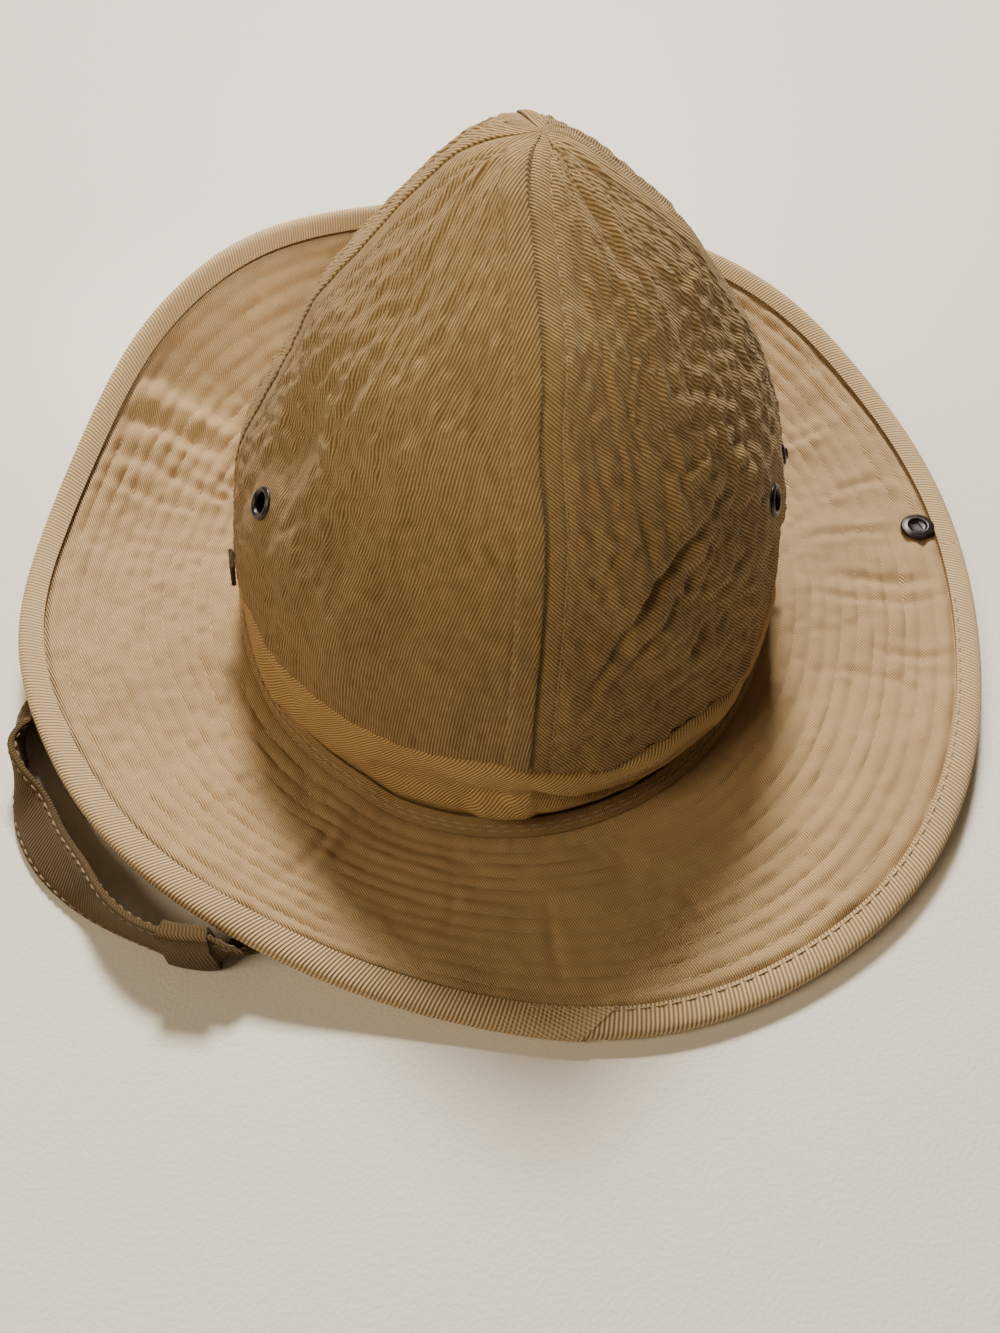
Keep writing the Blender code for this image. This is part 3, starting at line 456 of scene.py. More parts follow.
def stitch_row(starts, ends, normals, radius):
    """Points and faces of many stitches, each a short thick thread that dives at both ends.

    Along the stitch its height is an arch, one less the square of the place from -1 to 1. Its
    thickness falls towards both ends in the same way.
    """
    sink = 0.35
    place = np.array([-1.0, -0.72, 0.0, 0.72, 1.0])
    around = np.linspace(0, 2 * np.pi, 6, endpoint=False)
    ahead = ends - starts
    length = np.linalg.norm(ahead, axis=-1, keepdims=True)
    side = unit(np.cross(normals, ahead / length))
    middle = (starts + ends)[:, None, :] / 2 + ahead[:, None, :] * (place / 2)[None, :, None]
    arch = (1 - place**2 - sink) * radius
    middle = middle + normals[:, None, :] * arch[None, :, None]
    thick = radius * np.sqrt(1.02 - place**2)
    ring = (
        side[:, None, None, :] * np.cos(around)[None, None, :, None]
        + normals[:, None, None, :] * np.sin(around)[None, None, :, None]
    )
    points = middle[:, :, None, :] + ring * thick[None, :, None, None]
    count = len(starts)
    rows, sides = len(place), len(around)
    row, column = np.meshgrid(np.arange(rows - 1), np.arange(sides), indexing="ij")
    faces = np.stack(
        [
            row * sides + column,
            row * sides + (column + 1) % sides,
            (row + 1) * sides + (column + 1) % sides,
            (row + 1) * sides + column,
        ],
        axis=-1,
    ).reshape(-1, 4)
    faces = faces[None] + (np.arange(count) * rows * sides)[:, None, None]
    caps = np.stack([np.arange(sides)[::-1], (rows - 1) * sides + np.arange(sides)])
    caps = caps[None] + (np.arange(count) * rows * sides)[:, None, None]
    return points.reshape(-1, 3), faces.reshape(-1, 4), caps.reshape(-1, sides)


def stitches_along(points, normals, pitch):
    """Starts, ends and normals of stitches along a dense line: one to each pitch, with a gap."""
    gap = 0.22
    run = run_along(points)
    count = max(int(round(run[-1] / pitch)), 1)
    step = run[-1] / count
    marks = np.arange(count) / count * run[-1]
    starts = points_at(marks + step * gap / 2, run, points)
    ends = points_at(marks + step * (1 - gap / 2), run, points)
    return starts, ends, unit(points_at(marks + step / 2, run, normals))


def stitch_piece(name, rows, radius, material):
    """One piece of many stitch rows, each given by its starts, ends and normals."""
    starts, ends, normals = (np.concatenate(part) for part in zip(*rows))
    points, faces, caps = stitch_row(starts, ends, normals, radius)
    mesh = bpy.data.meshes.new(name)
    mesh.from_pydata(points.tolist(), [], faces.tolist() + caps.tolist())
    piece = finish_piece(name, mesh)
    piece.data.materials.append(material)
    return piece


def thread_finish(name, colour):
    """Cotton thread: light, its plies and fibres given only as fine noise in colour and relief."""
    finish = Finish(name, 0.75, 0.2)
    place, _ = finish.surface()
    fibre = finish.clouds(place, 2500.0, 2.0)
    tone = finish.mix(fibre, tinted(colour, 0.72), colour)
    return finish.paint(tone, fibre, 0.0001, 0.6)


strap_thread = thread_finish("strap_thread", (0.30, 0.205, 0.11))
STRAP_PITCH = 0.0033
edge_rows = []
for side in (-STRAP_STITCH_SHARE, STRAP_STITCH_SHARE):
    for top in (-1, 1):
        edge = line + across * (side * STRAP_WIDTH / 2) + face * (top * STRAP_CLOTH / 2 * 0.72)
        edge_rows.append(stitches_along(edge, face * top, STRAP_PITCH))
strap_stitches = stitch_piece("chin_strap_stitches", edge_rows, 0.00032, strap_thread)

# Keeper. A sleeve of the same twill, stitched shut, that slides on the strap.
KEEPER_LENGTH = 0.0125
KEEPER_CLOTH = 0.0012
KEEPER_POINT = 16
KEEPER_GAP = 0.0005
KEEPER_ROWS = 40
keeper_share = route_run[KEEPER_POINT] / route_run[-1]
keeper_middle = np.interp(keeper_share, np.linspace(0, 1, len(run)), run)
keeper_run = keeper_middle + KEEPER_LENGTH * np.linspace(-0.5, 0.5, KEEPER_ROWS)
keeper_ways = [points_at(keeper_run, run, values) for values in (line, across, face)]
keeper_wide = STRAP_WIDTH + 2 * KEEPER_GAP
keeper_high = STRAP_CLOTH + 2 * KEEPER_GAP
outer = flat_tube(
    *keeper_ways, keeper_wide + 2 * KEEPER_CLOTH, keeper_high + 2 * KEEPER_CLOTH, STRAP_SIDES
)
inner = flat_tube(*keeper_ways, keeper_wide, keeper_high, STRAP_SIDES)
keeper_map = grid_map(np.concatenate([keeper_run, keeper_run[::-1]]), girth)
keeper = grid_piece(
    "strap_keeper_twill", np.concatenate([outer, inner[::-1]]), ring_across=True,
    ring_along=True, maps=[("cloth", keeper_map)],
)
keeper.data.materials.append(strap_twill)
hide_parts("strap_keeper")


# Brim. Two plies of twill quilted with eleven rings of stitches. It lies flat at the band and
# its free edge lifts, most of all at the back.
BRIM_CLOTH = 0.0022
BRIM_FLAT = 0.0030
BINDING_WIDTH = 0.0074
BINDING_CLOTH = 0.0011
TAPE_WIDTH = 0.0043
BAND_CLOTH = 0.0015
GAP = 0.00034
TUNNEL_HALF_WIDTH = 0.0125
TUNNEL_RUNOUT = 0.0150
STRAP_TUNNELS = {"left": 194.0, "front_left": 233.0, "right": 357.5}
TUNNEL_RISE = STRAP_CLOTH + STRAP_FLOAT + 2 * GAP
BRIM_TUCK = TAPE_WIDTH + 2 * GAP + BAND_CLOTH
QUILT_ROWS = 11
QUILT_DEPTH = 0.00092
QUILT_PITCH = 0.0040
BRIM_LIGHT = (0.66, 0.455, 0.245)
BRIM_DARK = (0.34, 0.215, 0.095)
BRIM_AROUND = 1000
BRIM_TOP_ROWS = 84
BRIM_UNDER_ROWS = 14


def turn_from(azimuth, degrees):
    """Angle from a place on the ring, in radians from minus pi to pi."""
    return np.mod(azimuth - math.radians(degrees) + np.pi, 2 * np.pi) - np.pi


def tunnel_lift(azimuth):
    """How far the seam rides up over the strap: a flat-topped hump at each crossing."""
    lift = np.zeros(np.shape(azimuth))
    for place in STRAP_TUNNELS.values():
        off = np.abs(turn_from(azimuth, place)) * (HEAD_WIDTH + HEAD_LENGTH) / 4
        lift = np.maximum(lift, 1 - smooth_step((off - TUNNEL_HALF_WIDTH) / TUNNEL_RUNOUT))
    return lift * TUNNEL_RISE


def brim_frame(azimuth, share):
    """Middle surface of the brim, from the seam tape's foot (0) to the edge (1).

    Gives the point, the way out along the cloth and the way up from it. The cloth is flat
    for BRIM_FLAT, then rises as a power of the way out.
    """
    foot, out = opening_point(azimuth)
    reach = ring_value("reach", azimuth) * BRIM_WIDTH
    lift = ring_value("lift", azimuth) * BRIM_WIDTH
    power = np.log(ring_value("middle", azimuth)) / math.log(0.5)
    base = tunnel_lift(azimuth)
    way = share * reach
    free = reach - BRIM_FLAT
    part = np.clip((way - BRIM_FLAT) / free, 1e-6, None)
    rise = base * (1 - np.minimum(part, 1)) + lift * part**power
    slope = np.where(way > BRIM_FLAT, (lift * power * part ** (power - 1) - base) / free, 0)
    steep = np.sqrt(1 + slope**2)
    plan = foot + out * way[..., None] + HEAD_MIDDLE
    point = np.concatenate([plan, (BRIM_CLOTH / 2 + rise)[..., None]], axis=-1)
    along = np.concatenate([out, slope[..., None]], axis=-1) / steep[..., None]
    up = np.concatenate([-out * slope[..., None], np.ones_like(slope)[..., None]], axis=-1)
    return point, along, up / steep[..., None]


def edge_share(azimuth, inwards):
    """The share of the brim that lies a length of cloth inwards from its edge."""
    point, _, _ = brim_frame(azimuth, np.full(azimuth.shape, 1.0))
    inner, _, _ = brim_frame(azimuth, np.full(azimuth.shape, 0.9))
    return 1 - inwards * 0.1 / np.linalg.norm(point - inner, axis=-1)


def soft_noise(around, up, cells_around, cells_up, seed):
    """Smooth noise from -1 to 1: random values at the corners of a lattice that closes round
    on itself, blended by smooth steps."""
    values = np.random.default_rng(seed).uniform(-1, 1, (cells_up + 2, cells_around))
    x = np.mod(around, 1) * cells_around
    y = np.clip(up, 0, 1) * cells_up
    left = np.floor(x).astype(int) % cells_around
    right = (left + 1) % cells_around
    low = np.floor(y).astype(int)
    part_x = smooth_step(x - np.floor(x))
    part_y = smooth_step(y - low)
    bottom = values[low, left] * (1 - part_x) + values[low, right] * part_x
    top = values[low + 1, left] * (1 - part_x) + values[low + 1, right] * part_x
    return bottom * (1 - part_y) + top * part_y


Noise = namedtuple("Noise", "cells_around cells_up seed height")


def noise_sum(table, around, up, seed=0):
    """Sum of soft noises from a table, each times its height."""
    return sum(
        row.height * soft_noise(around, up, row.cells_around, row.cells_up, row.seed + seed)
        for row in table
    )


def quilt_share(azimuth, row):
    """Share of the brim where a stitch ring lies: evenly spaced out to the binding, with the
    slow wander of a hand-guided seam."""
    bound = edge_share(azimuth, BINDING_WIDTH)
    wander = soft_noise(azimuth / (2 * np.pi), 0.5 + 0 * azimuth, 14, 1, 40 + int(row))
    return bound * (row + 0.13 * wander) / (QUILT_ROWS + 1)


# Creases of the brim: azimuth, share of the middle, length as a share, width and depth in
# metres (a dip above 0), and turn in degrees.
BrimCrease = namedtuple("BrimCrease", "azimuth share length width depth turn")
BRIM_CREASES = (
    BrimCrease(150, 0.62, 0.42, 0.0100, 0.0022, 10),
    BrimCrease(157, 0.60, 0.40, 0.0090, -0.0016, 10),
    BrimCrease(351, 0.66, 0.30, 0.0050, 0.0009, 0),
    BrimCrease(355, 0.60, 0.30, 0.0045, 0.0008, 6),
    BrimCrease(1, 0.70, 0.26, 0.0045, 0.0009, -6),
    BrimCrease(8, 0.55, 0.34, 0.0050, 0.0007, 0),
    BrimCrease(28, 0.60, 0.34, 0.0050, 0.0009, 4),
    BrimCrease(36, 0.64, 0.30, 0.0050, 0.0008, -4),
    BrimCrease(205, 0.86, 0.16, 0.0050, 0.0010, 20),
)


def brim_creases(azimuth, share):
    """Depth of the creases: each a Gaussian dip, long along the brim's width and narrow
    round it."""
    depth = np.zeros(np.broadcast(azimuth, share).shape)
    radius = (HEAD_WIDTH + HEAD_LENGTH) / 4
    for crease in BRIM_CREASES:
        turn = turn_from(azimuth, crease.azimuth)
        away = (share - crease.share) * BRIM_WIDTH
        aside = turn * (radius + share * BRIM_WIDTH) - away * math.tan(math.radians(crease.turn))
        spread = (away / (crease.length * BRIM_WIDTH)) ** 2
        depth = depth + crease.depth * np.exp(-spread * 2 - (aside / crease.width) ** 2)
    return depth


# Narrow wrinkles of the brim. Each runs along a parabola through three places, given as
# azimuth and share. Width and depth are in metres, and a depth below 0 is a ridge.
Wrinkle = namedtuple("Wrinkle", "start start_share middle middle_share end end_share width depth")
BRIM_WRINKLES = (
    Wrinkle(161.4, 0.960, 159.0, 0.65, 157.6, 0.32, 0.0030, 0.0016),
    Wrinkle(157.2, 0.955, 155.0, 0.65, 153.8, 0.34, 0.0034, -0.0013),
    Wrinkle(165.4, 0.840, 165.6, 0.52, 166.0, 0.20, 0.0022, 0.0009),
    Wrinkle(169.0, 0.900, 170.4, 0.60, 170.0, 0.30, 0.0018, 0.0006),
    Wrinkle(149.0, 0.930, 147.0, 0.60, 145.0, 0.30, 0.0024, 0.0009),
    Wrinkle(140.0, 0.850, 138.6, 0.60, 137.0, 0.35, 0.0020, 0.0007),
    Wrinkle(178.0, 0.700, 178.6, 0.45, 178.0, 0.24, 0.0018, 0.0005),
    Wrinkle(211.0, 0.930, 213.6, 0.84, 217.0, 0.78, 0.0014, 0.0009),
    Wrinkle(214.0, 0.980, 216.0, 0.90, 221.0, 0.86, 0.0014, 0.0006),
    Wrinkle(3.0, 0.700, 4.0, 0.45, 3.0, 0.20, 0.0018, 0.0007),
    Wrinkle(355.0, 0.880, 354.4, 0.62, 356.0, 0.34, 0.0018, 0.0008),
    Wrinkle(351.6, 0.820, 350.8, 0.55, 352.0, 0.24, 0.0016, 0.0006),
    Wrinkle(336.0, 0.800, 338.0, 0.55, 337.0, 0.30, 0.0018, 0.0006),
    Wrinkle(343.6, 0.900, 342.0, 0.70, 343.0, 0.50, 0.0016, 0.0007),
    Wrinkle(12.0, 0.860, 13.0, 0.62, 12.0, 0.40, 0.0018, 0.0007),
    Wrinkle(24.0, 0.700, 25.0, 0.45, 24.0, 0.25, 0.0020, 0.0007),
    Wrinkle(276.0, 0.780, 275.6, 0.52, 276.4, 0.24, 0.0016, 0.0006),
    Wrinkle(262.0, 0.700, 262.8, 0.45, 262.0, 0.20, 0.0016, 0.0005),
    Wrinkle(293.0, 0.880, 294.0, 0.62, 293.4, 0.40, 0.0018, 0.0005),
    Wrinkle(241.0, 0.720, 242.0, 0.45, 241.0, 0.18, 0.0018, 0.0007),
)


def wrinkle_depth(wrinkles, azimuth, share, across, along):
    """Depth of narrow wrinkles on cloth laid flat, across metres to the radian and along
    metres to the share. The section is a Gaussian dip with a lower ridge on both sides, and
    it fades at the ends as the root of half a sine."""
    depth = np.zeros(np.broadcast(azimuth, share).shape)
    part = np.linspace(0, 1, 9)
    weights = ((1 - part) * (1 - 2 * part), 4 * part * (1 - part), part * (2 * part - 1))
    for wrinkle in wrinkles:
        middle = math.radians(wrinkle.middle)
        x = turn_from(azimuth, wrinkle.middle) * across + 0 * share
        y = share * along + 0 * azimuth
        turns = (math.radians(wrinkle.start) - middle, 0.0, math.radians(wrinkle.end) - middle)
        shares = (wrinkle.start_share, wrinkle.middle_share, wrinkle.end_share)
        path_x = sum(weight * turn for weight, turn in zip(weights, turns)) * across
        path_y = sum(weight * place for weight, place in zip(weights, shares)) * along
        nearest = np.full(depth.shape, np.inf)
        place = np.zeros(depth.shape)
        for leg in range(len(part) - 1):
            leg_x, leg_y = path_x[leg + 1] - path_x[leg], path_y[leg + 1] - path_y[leg]
            from_x, from_y = x - path_x[leg], y - path_y[leg]
            reach = np.clip((from_x * leg_x + from_y * leg_y) / (leg_x**2 + leg_y**2), 0, 1)
            off = np.hypot(from_x - reach * leg_x, from_y - reach * leg_y)
            place = np.where(off < nearest, (leg + reach) / (len(part) - 1), place)
            nearest = np.minimum(nearest, off)
        off = nearest / wrinkle.width
        fade = np.sqrt(np.clip(np.sin(np.pi * place), 0, 1))
        depth = depth + wrinkle.depth * fade * (bell(off) - 0.4 * bell(off - 2))
    return depth


PUFF_NOISE = (Noise(90, 1, 70, 0.40), Noise(232, 1, 90, 0.42))
BRIM_NOISE = (Noise(60, 8, 9, 0.00045),)
GATHER_NOISE = (Noise(210, 22, 8, 0.00046), Noise(110, 5, 6, 0.00028))
GATHER_AZIMUTH = 160
SEAM_ALLOWANCE = 0.02
BRIM_ACROSS = 0.130
EDGE_GROOVE = 0.0007
EDGE_GROOVE_PLACE = 0.0003
EDGE_GROOVE_WIDTH = 0.0010


def brim_relief(azimuth, share):
    """Height of the quilting over the flat cloth.

    It is half a sine between every two rings of stitches, times noise round the ring. Noise
    in small cells over all of it gathers the cloth, most at the left, and a groove runs
    beside the binding.
    """
    bound = edge_share(azimuth, BINDING_WIDTH)
    rings = [np.full(azimuth.shape, -SEAM_ALLOWANCE)]
    rings += [quilt_share(azimuth, row) for row in range(1, QUILT_ROWS + 1)]
    rings.append(bound)
    relief = np.zeros(azimuth.shape)
    turn = azimuth / (2 * np.pi)
    for index in range(len(rings) - 1):
        inner, outer = rings[index], rings[index + 1]
        part = (share - inner) / (outer - inner)
        inside = (part >= 0) & (part < 1)
        puff = np.sin(np.pi * np.clip(part, 0, 1)) ** 0.75
        uneven = 1 + noise_sum(PUFF_NOISE, turn, 0 * turn, index)
        relief = np.where(inside, puff * uneven, relief)
    outside = (share > bound) | (share < -SEAM_ALLOWANCE)
    relief = np.where(outside, 0, relief) * QUILT_DEPTH
    up = np.clip(share, 0, 1)
    gather = 0.45 + 0.55 * np.clip(np.cos(azimuth - math.radians(GATHER_AZIMUTH)), 0, 1)
    slow = noise_sum(BRIM_NOISE, turn, up) + gather * noise_sum(GATHER_NOISE, turn, up)
    fade = smooth_step(share * 8) * smooth_step((bound - share) * 14)
    wrinkled = wrinkle_depth(BRIM_WRINKLES, azimuth, share, BRIM_ACROSS, BRIM_WIDTH)
    from_edge = (bound - share) * BRIM_WIDTH
    groove = EDGE_GROOVE * bell((from_edge - EDGE_GROOVE_PLACE) / EDGE_GROOVE_WIDTH)
    return relief + (slow - brim_creases(azimuth, share) - wrinkled) * fade - groove


def brim_shell():
    """The whole brim: its quilted top, then its underside, round a closed section."""
    column = (np.arange(BRIM_AROUND) * 2 * np.pi / BRIM_AROUND)[None, :]
    reach = ring_value("reach", column) * BRIM_WIDTH
    inner = -BRIM_TUCK / reach
    outer = edge_share(column, BINDING_CLOTH + GAP)
    top = inner + (outer - inner) * np.linspace(0, 1, BRIM_TOP_ROWS)[:, None]
    under = inner + (outer - inner) * np.linspace(1, 0, BRIM_UNDER_ROWS)[:, None]
    turn = column + 0 * top
    middle, _, up = brim_frame(turn, top)
    relief = brim_relief(turn, top)
    top_points = middle + up * (BRIM_CLOTH / 2 + relief - QUILT_DEPTH * 0.5)[..., None]
    turn = column + 0 * under
    middle, _, up = brim_frame(turn, under)
    fade = smooth_step(under * 6) * smooth_step((0.85 - under) * 10)
    lower = BRIM_CLOTH / 2 + brim_creases(turn, under) * fade
    under_points = middle - up * lower[..., None]
    return np.concatenate([top_points, under_points]), np.concatenate([top, under])


def flat_pattern(shares):
    """Map of the brim as it was cut: the way out from the opening, laid flat, in metres."""
    column = np.arange(BRIM_AROUND + 1) * 2 * np.pi / BRIM_AROUND
    columns = np.arange(BRIM_AROUND + 1) % BRIM_AROUND
    foot, out = opening_point(column[None, :] + 0 * shares[:, columns])
    return foot + out * (shares[:, columns] * BRIM_WIDTH)[..., None]


shell, shares = brim_shell()
brim_map = [("cloth", flat_pattern(shares))]
brim = grid_piece("brim_quilted", shell, ring_across=True, ring_along=True, maps=brim_map)
# The brim was cut flat, so its ridges run one way all over it.
brim.data.materials.append(
    twill_cloth("brim_twill_quilted", -62, 0.00066, 0.00020, BRIM_LIGHT, BRIM_DARK, 0.3)
)
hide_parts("brim")

# Quilting stitches of the brim, eleven rings of pale cotton thread; the real ones show on both faces,
# these are drawn on the top face only.
brim_thread = thread_finish("brim_thread", (0.57, 0.415, 0.235))
quilt = []
for row in range(1, QUILT_ROWS + 1):
    turn = np.linspace(0, 2 * np.pi, 2400)
    share = quilt_share(turn, row)
    middle, _, up = brim_frame(turn, share)
    seat = BRIM_CLOTH / 2 + brim_relief(turn, share) - QUILT_DEPTH * 0.5
    quilt.append(stitches_along(middle + up * seat[:, None], up, QUILT_PITCH))
brim_stitches = stitch_piece("brim_stitches", quilt, 0.00027, brim_thread)


# Binding. Ribbed bias tape folded over the brim's edge and stitched through, its two ends
# joined on the slant at the front.
BINDING_LIGHT = (0.72, 0.52, 0.295)
BINDING_DARK = (0.28, 0.180, 0.085)
BINDING_AROUND = 720
RIB_SPACING = 0.00115
TAPE_AROUND_EDGE = 0.97
JoinPlace = namedtuple("JoinPlace", "inner_azimuth outer_azimuth span")
JOIN = JoinPlace(280.9, 277.0, 10.5)
JOIN_RISE = 0.00042
JOIN_FLOAT = 0.00003
JOIN_SINK = 0.00012
SLOT_POINTS = 4
UNDER_POINTS = 6
SECTION_POINTS = 28


def binding_section(count):
    """Outline of the folded tape: inwards from the brim's edge and up from its middle.

    The outside is a roll, a superellipse of power 2.5 from its crest round the edge, which
    falls as a parabola from the crest to the tape's inner edge. The inside is the slot for
    the cloth.
    """
    slot = BRIM_CLOTH / 2 + GAP
    height = slot + BINDING_CLOTH
    crest = 0.0042
    lip = 0.0009
    angle = np.linspace(np.pi / 2, -np.pi / 2, count // 2)
    round_in = crest * (1 - np.abs(np.cos(angle)) ** 0.8)
    round_up = height * np.sign(np.sin(angle)) * np.abs(np.sin(angle)) ** 0.8
    flat = np.linspace(BINDING_WIDTH, crest, count // 4, endpoint=False)
    fall = (height - slot - lip) * ((flat - crest) / (BINDING_WIDTH - crest)) ** 2
    inwards = np.concatenate([flat, round_in, flat[::-1]])
    up = np.concatenate([height - fall, round_up, (fall - height)[::-1]])
    inner_in = np.array([BINDING_WIDTH, BINDING_CLOTH, BINDING_CLOTH, BINDING_WIDTH])
    inner_up = np.array([-slot, -slot, slot, slot])
    return np.concatenate([inwards, inner_in]), np.concatenate([up, inner_up])


def binding_grid(section_in, section_up, turn):
    """The section carried round the brim's edge."""
    rows = []
    for inwards, up_by in zip(section_in, section_up):
        point, _, up = brim_frame(turn, edge_share(turn, inwards))
        rows.append(point + up * up_by)
    return np.array(rows)


def binding_finish():
    """Ribbed tape: ridges across it, slanting a little where it turns, plainest at the front.
    Left of the join it shows the weave of the tape's other end, crossed ridges like small
    lozenges, which fade out into the plain ribs."""
    finish = Finish("binding_ribbed_tape")
    place, (along, across, _) = finish.surface("tape")
    bend = finish.clouds(place, 70.0, 1.0) * 0.5
    rib = (along / RIB_SPACING + across * (0.35 / RIB_SPACING) + bend).wave() ** 0.8
    cross = (across / RIB_SPACING - along * (0.5 / RIB_SPACING)).wave()
    end = TAPE_AROUND_EDGE * JOIN.inner_azimuth / 360
    slant = (JOIN.inner_azimuth - JOIN.outer_azimuth) / 360 * TAPE_AROUND_EDGE / BINDING_WIDTH
    past = along + across * slant
    lozenge = past.between(end - 0.031, end - 0.010) * (1.0 - past.between(end - 0.0001, end))
    front = along.between(0.52, 0.64) * (1.0 - along.between(0.86, 0.95))
    weave = rib * (1.0 - lozenge * 0.55) + cross * lozenge * 0.55
    weave = weave * (front * 0.45 + 0.55) + (1.0 - front) * 0.22
    colour = cloth_paint(finish, place, weave, BINDING_LIGHT, BINDING_DARK, 0.22)
    return finish.paint(colour, weave, 0.00034)


section_in, section_up = binding_section(SECTION_POINTS)
binding_turn = np.arange(BINDING_AROUND) * 2 * np.pi / BINDING_AROUND
tape_way = run_along(np.stack([section_in, section_up], axis=-1))
tape_length = np.linspace(0, TAPE_AROUND_EDGE, BINDING_AROUND + 1)
tape_map = grid_map(tape_way, tape_length)[..., ::-1]
binding = grid_piece(
    "brim_binding_tape", binding_grid(section_in, section_up, binding_turn), ring_across=True,
    ring_along=True, maps=[("tape", tape_map)],
)
binding_material = binding_finish()
binding.data.materials.append(binding_material)
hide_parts("brim_binding")

# The join: the tape's other end laps over this one. It starts level with the tape and ends
# JOIN_RISE higher, cut off on the slant.
face_rows = len(section_in) - SLOT_POINTS - UNDER_POINTS
face_in, face_up = section_in[:face_rows], section_up[:face_rows]
facing_in = -np.gradient(face_up)
facing_up = np.gradient(face_in)
length = -np.hypot(facing_in, facing_up)
facing_in, facing_up = facing_in / length, facing_up / length
lap_share = np.linspace(0, 1, 60)
slant_share = np.clip(face_in / BINDING_WIDTH, 0, 1)
line_azimuth = JOIN.outer_azimuth + (JOIN.inner_azimuth - JOIN.outer_azimuth) * slant_share
lap_rows, lap_maps = [], []
for side in (1, 0):
    for row in range(face_rows)[:: 1 if side else -1]:
        lap_turn = np.radians(line_azimuth[row] - JOIN.span * (1 - lap_share))
        rise = (JOIN_RISE * smooth_step(lap_share * 1.1) + JOIN_FLOAT) * side - JOIN_SINK * (1 - side)
        inwards = face_in[row] + facing_in[row] * rise
        point, _, up = brim_frame(lap_turn, edge_share(lap_turn, inwards))
        lap_rows.append(point + up * (face_up[row] + facing_up[row] * rise)[:, None])
        lap_maps.append(np.stack(
            [lap_turn / (2 * np.pi) * TAPE_AROUND_EDGE, tape_way[row] + 0 * lap_turn], axis=-1
        ))
lap_map = np.array(lap_maps + lap_maps[:1])
join = grid_piece("binding_join_lap", np.array(lap_rows), ring_along=True, maps=[("tape", lap_map)])
join.data.materials.append(binding_material)
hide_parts("binding_join")

# Its stitches show on top only from the front to the right, and all round underneath.
StitchRun = namedtuple("StitchRun", "start end points face")
BINDING_ROWS = (StitchRun(272, 352, 1200, 1), StitchRun(0, 360, 2400, -1))
BINDING_STITCH_INSET = 0.0009
BINDING_STITCH_HEIGHT = 0.00115
binding_rows = []
for stitched in BINDING_ROWS:
    turn = np.radians(np.linspace(stitched.start, stitched.end, stitched.points))
    point, _, up = brim_frame(turn, edge_share(turn, BINDING_WIDTH - BINDING_STITCH_INSET))
    facing = up * stitched.face
    seat = point + facing * (BRIM_CLOTH / 2 + GAP + BINDING_STITCH_HEIGHT)
    binding_rows.append(stitches_along(seat, facing, QUILT_PITCH))
edge_stitches = stitch_piece("binding_stitches", binding_rows, 0.00030, brim_thread)


# Seam tape. A narrow folded tape with two rows of stitches in the corner of band and brim.
TAPE_HEIGHT = 0.0044
TAPE_LIGHT = (0.55, 0.375, 0.19)
TAPE_DARK = (0.27, 0.165, 0.07)
TAPE_SECTION = (
    (0.0, 0.0),
    (0.0002, 0.0009),
    (-0.0006, 0.0018),
    (-0.0016, 0.0024),
    (-0.0026, 0.0033),
    (-0.0036, 0.0043),
    (-0.0041, 0.0041),
    (-0.0043, 0.0),
)


def tape_grid(turn):
    """The tape's section carried round the opening, riding over the strap."""
    foot, out = opening_point(turn)
    floor = BRIM_CLOTH + GAP + tunnel_lift(turn)
    rows = []
    for inwards, height in TAPE_SECTION:
        plan = foot + out * inwards + HEAD_MIDDLE
        rows.append(np.concatenate([plan, (floor + height)[:, None]], axis=-1))
    return np.array(rows)


TAPE_AROUND = 480
TAPE_FOLDED_OUT = 0.014
TAPE_LENGTH = 0.6
TAPE_PITCH = 0.0044
TAPE_STITCH_ROWS = ((-0.0011, 0.0022), (-0.0021, 0.0030))
tape_turn = np.arange(TAPE_AROUND) * 2 * np.pi / TAPE_AROUND
seam_map = grid_map(
    np.linspace(0, TAPE_FOLDED_OUT, len(TAPE_SECTION)), np.linspace(0, TAPE_LENGTH, TAPE_AROUND + 1)
)[..., ::-1]
tape = grid_piece(
    "brim_seam_tape_cloth", tape_grid(tape_turn), ring_across=True, ring_along=True,
    maps=[("tape", seam_map)],
)
tape.data.materials.append(
    twill_cloth("seam_tape_cotton", 58, 0.00075, 0.0002, TAPE_LIGHT, TAPE_DARK, map_name="tape")
)
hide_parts("brim_seam_tape")

turn = np.linspace(0, 2 * np.pi, 2400)
foot, out = opening_point(turn)
tape_rows = []
for inwards, height in TAPE_STITCH_ROWS:
    plan = foot + out * inwards + HEAD_MIDDLE
    seat_height = BRIM_CLOTH + GAP + tunnel_lift(turn) + height
    seat = np.concatenate([plan, seat_height[:, None]], axis=-1)
    facing = np.concatenate([out * 0.75, 0 * out[:, :1] + 0.66], axis=-1)
    tape_rows.append(stitches_along(seat, facing, TAPE_PITCH))
tape_stitches = stitch_piece("seam_tape_stitches", tape_rows, 0.00030, brim_thread)


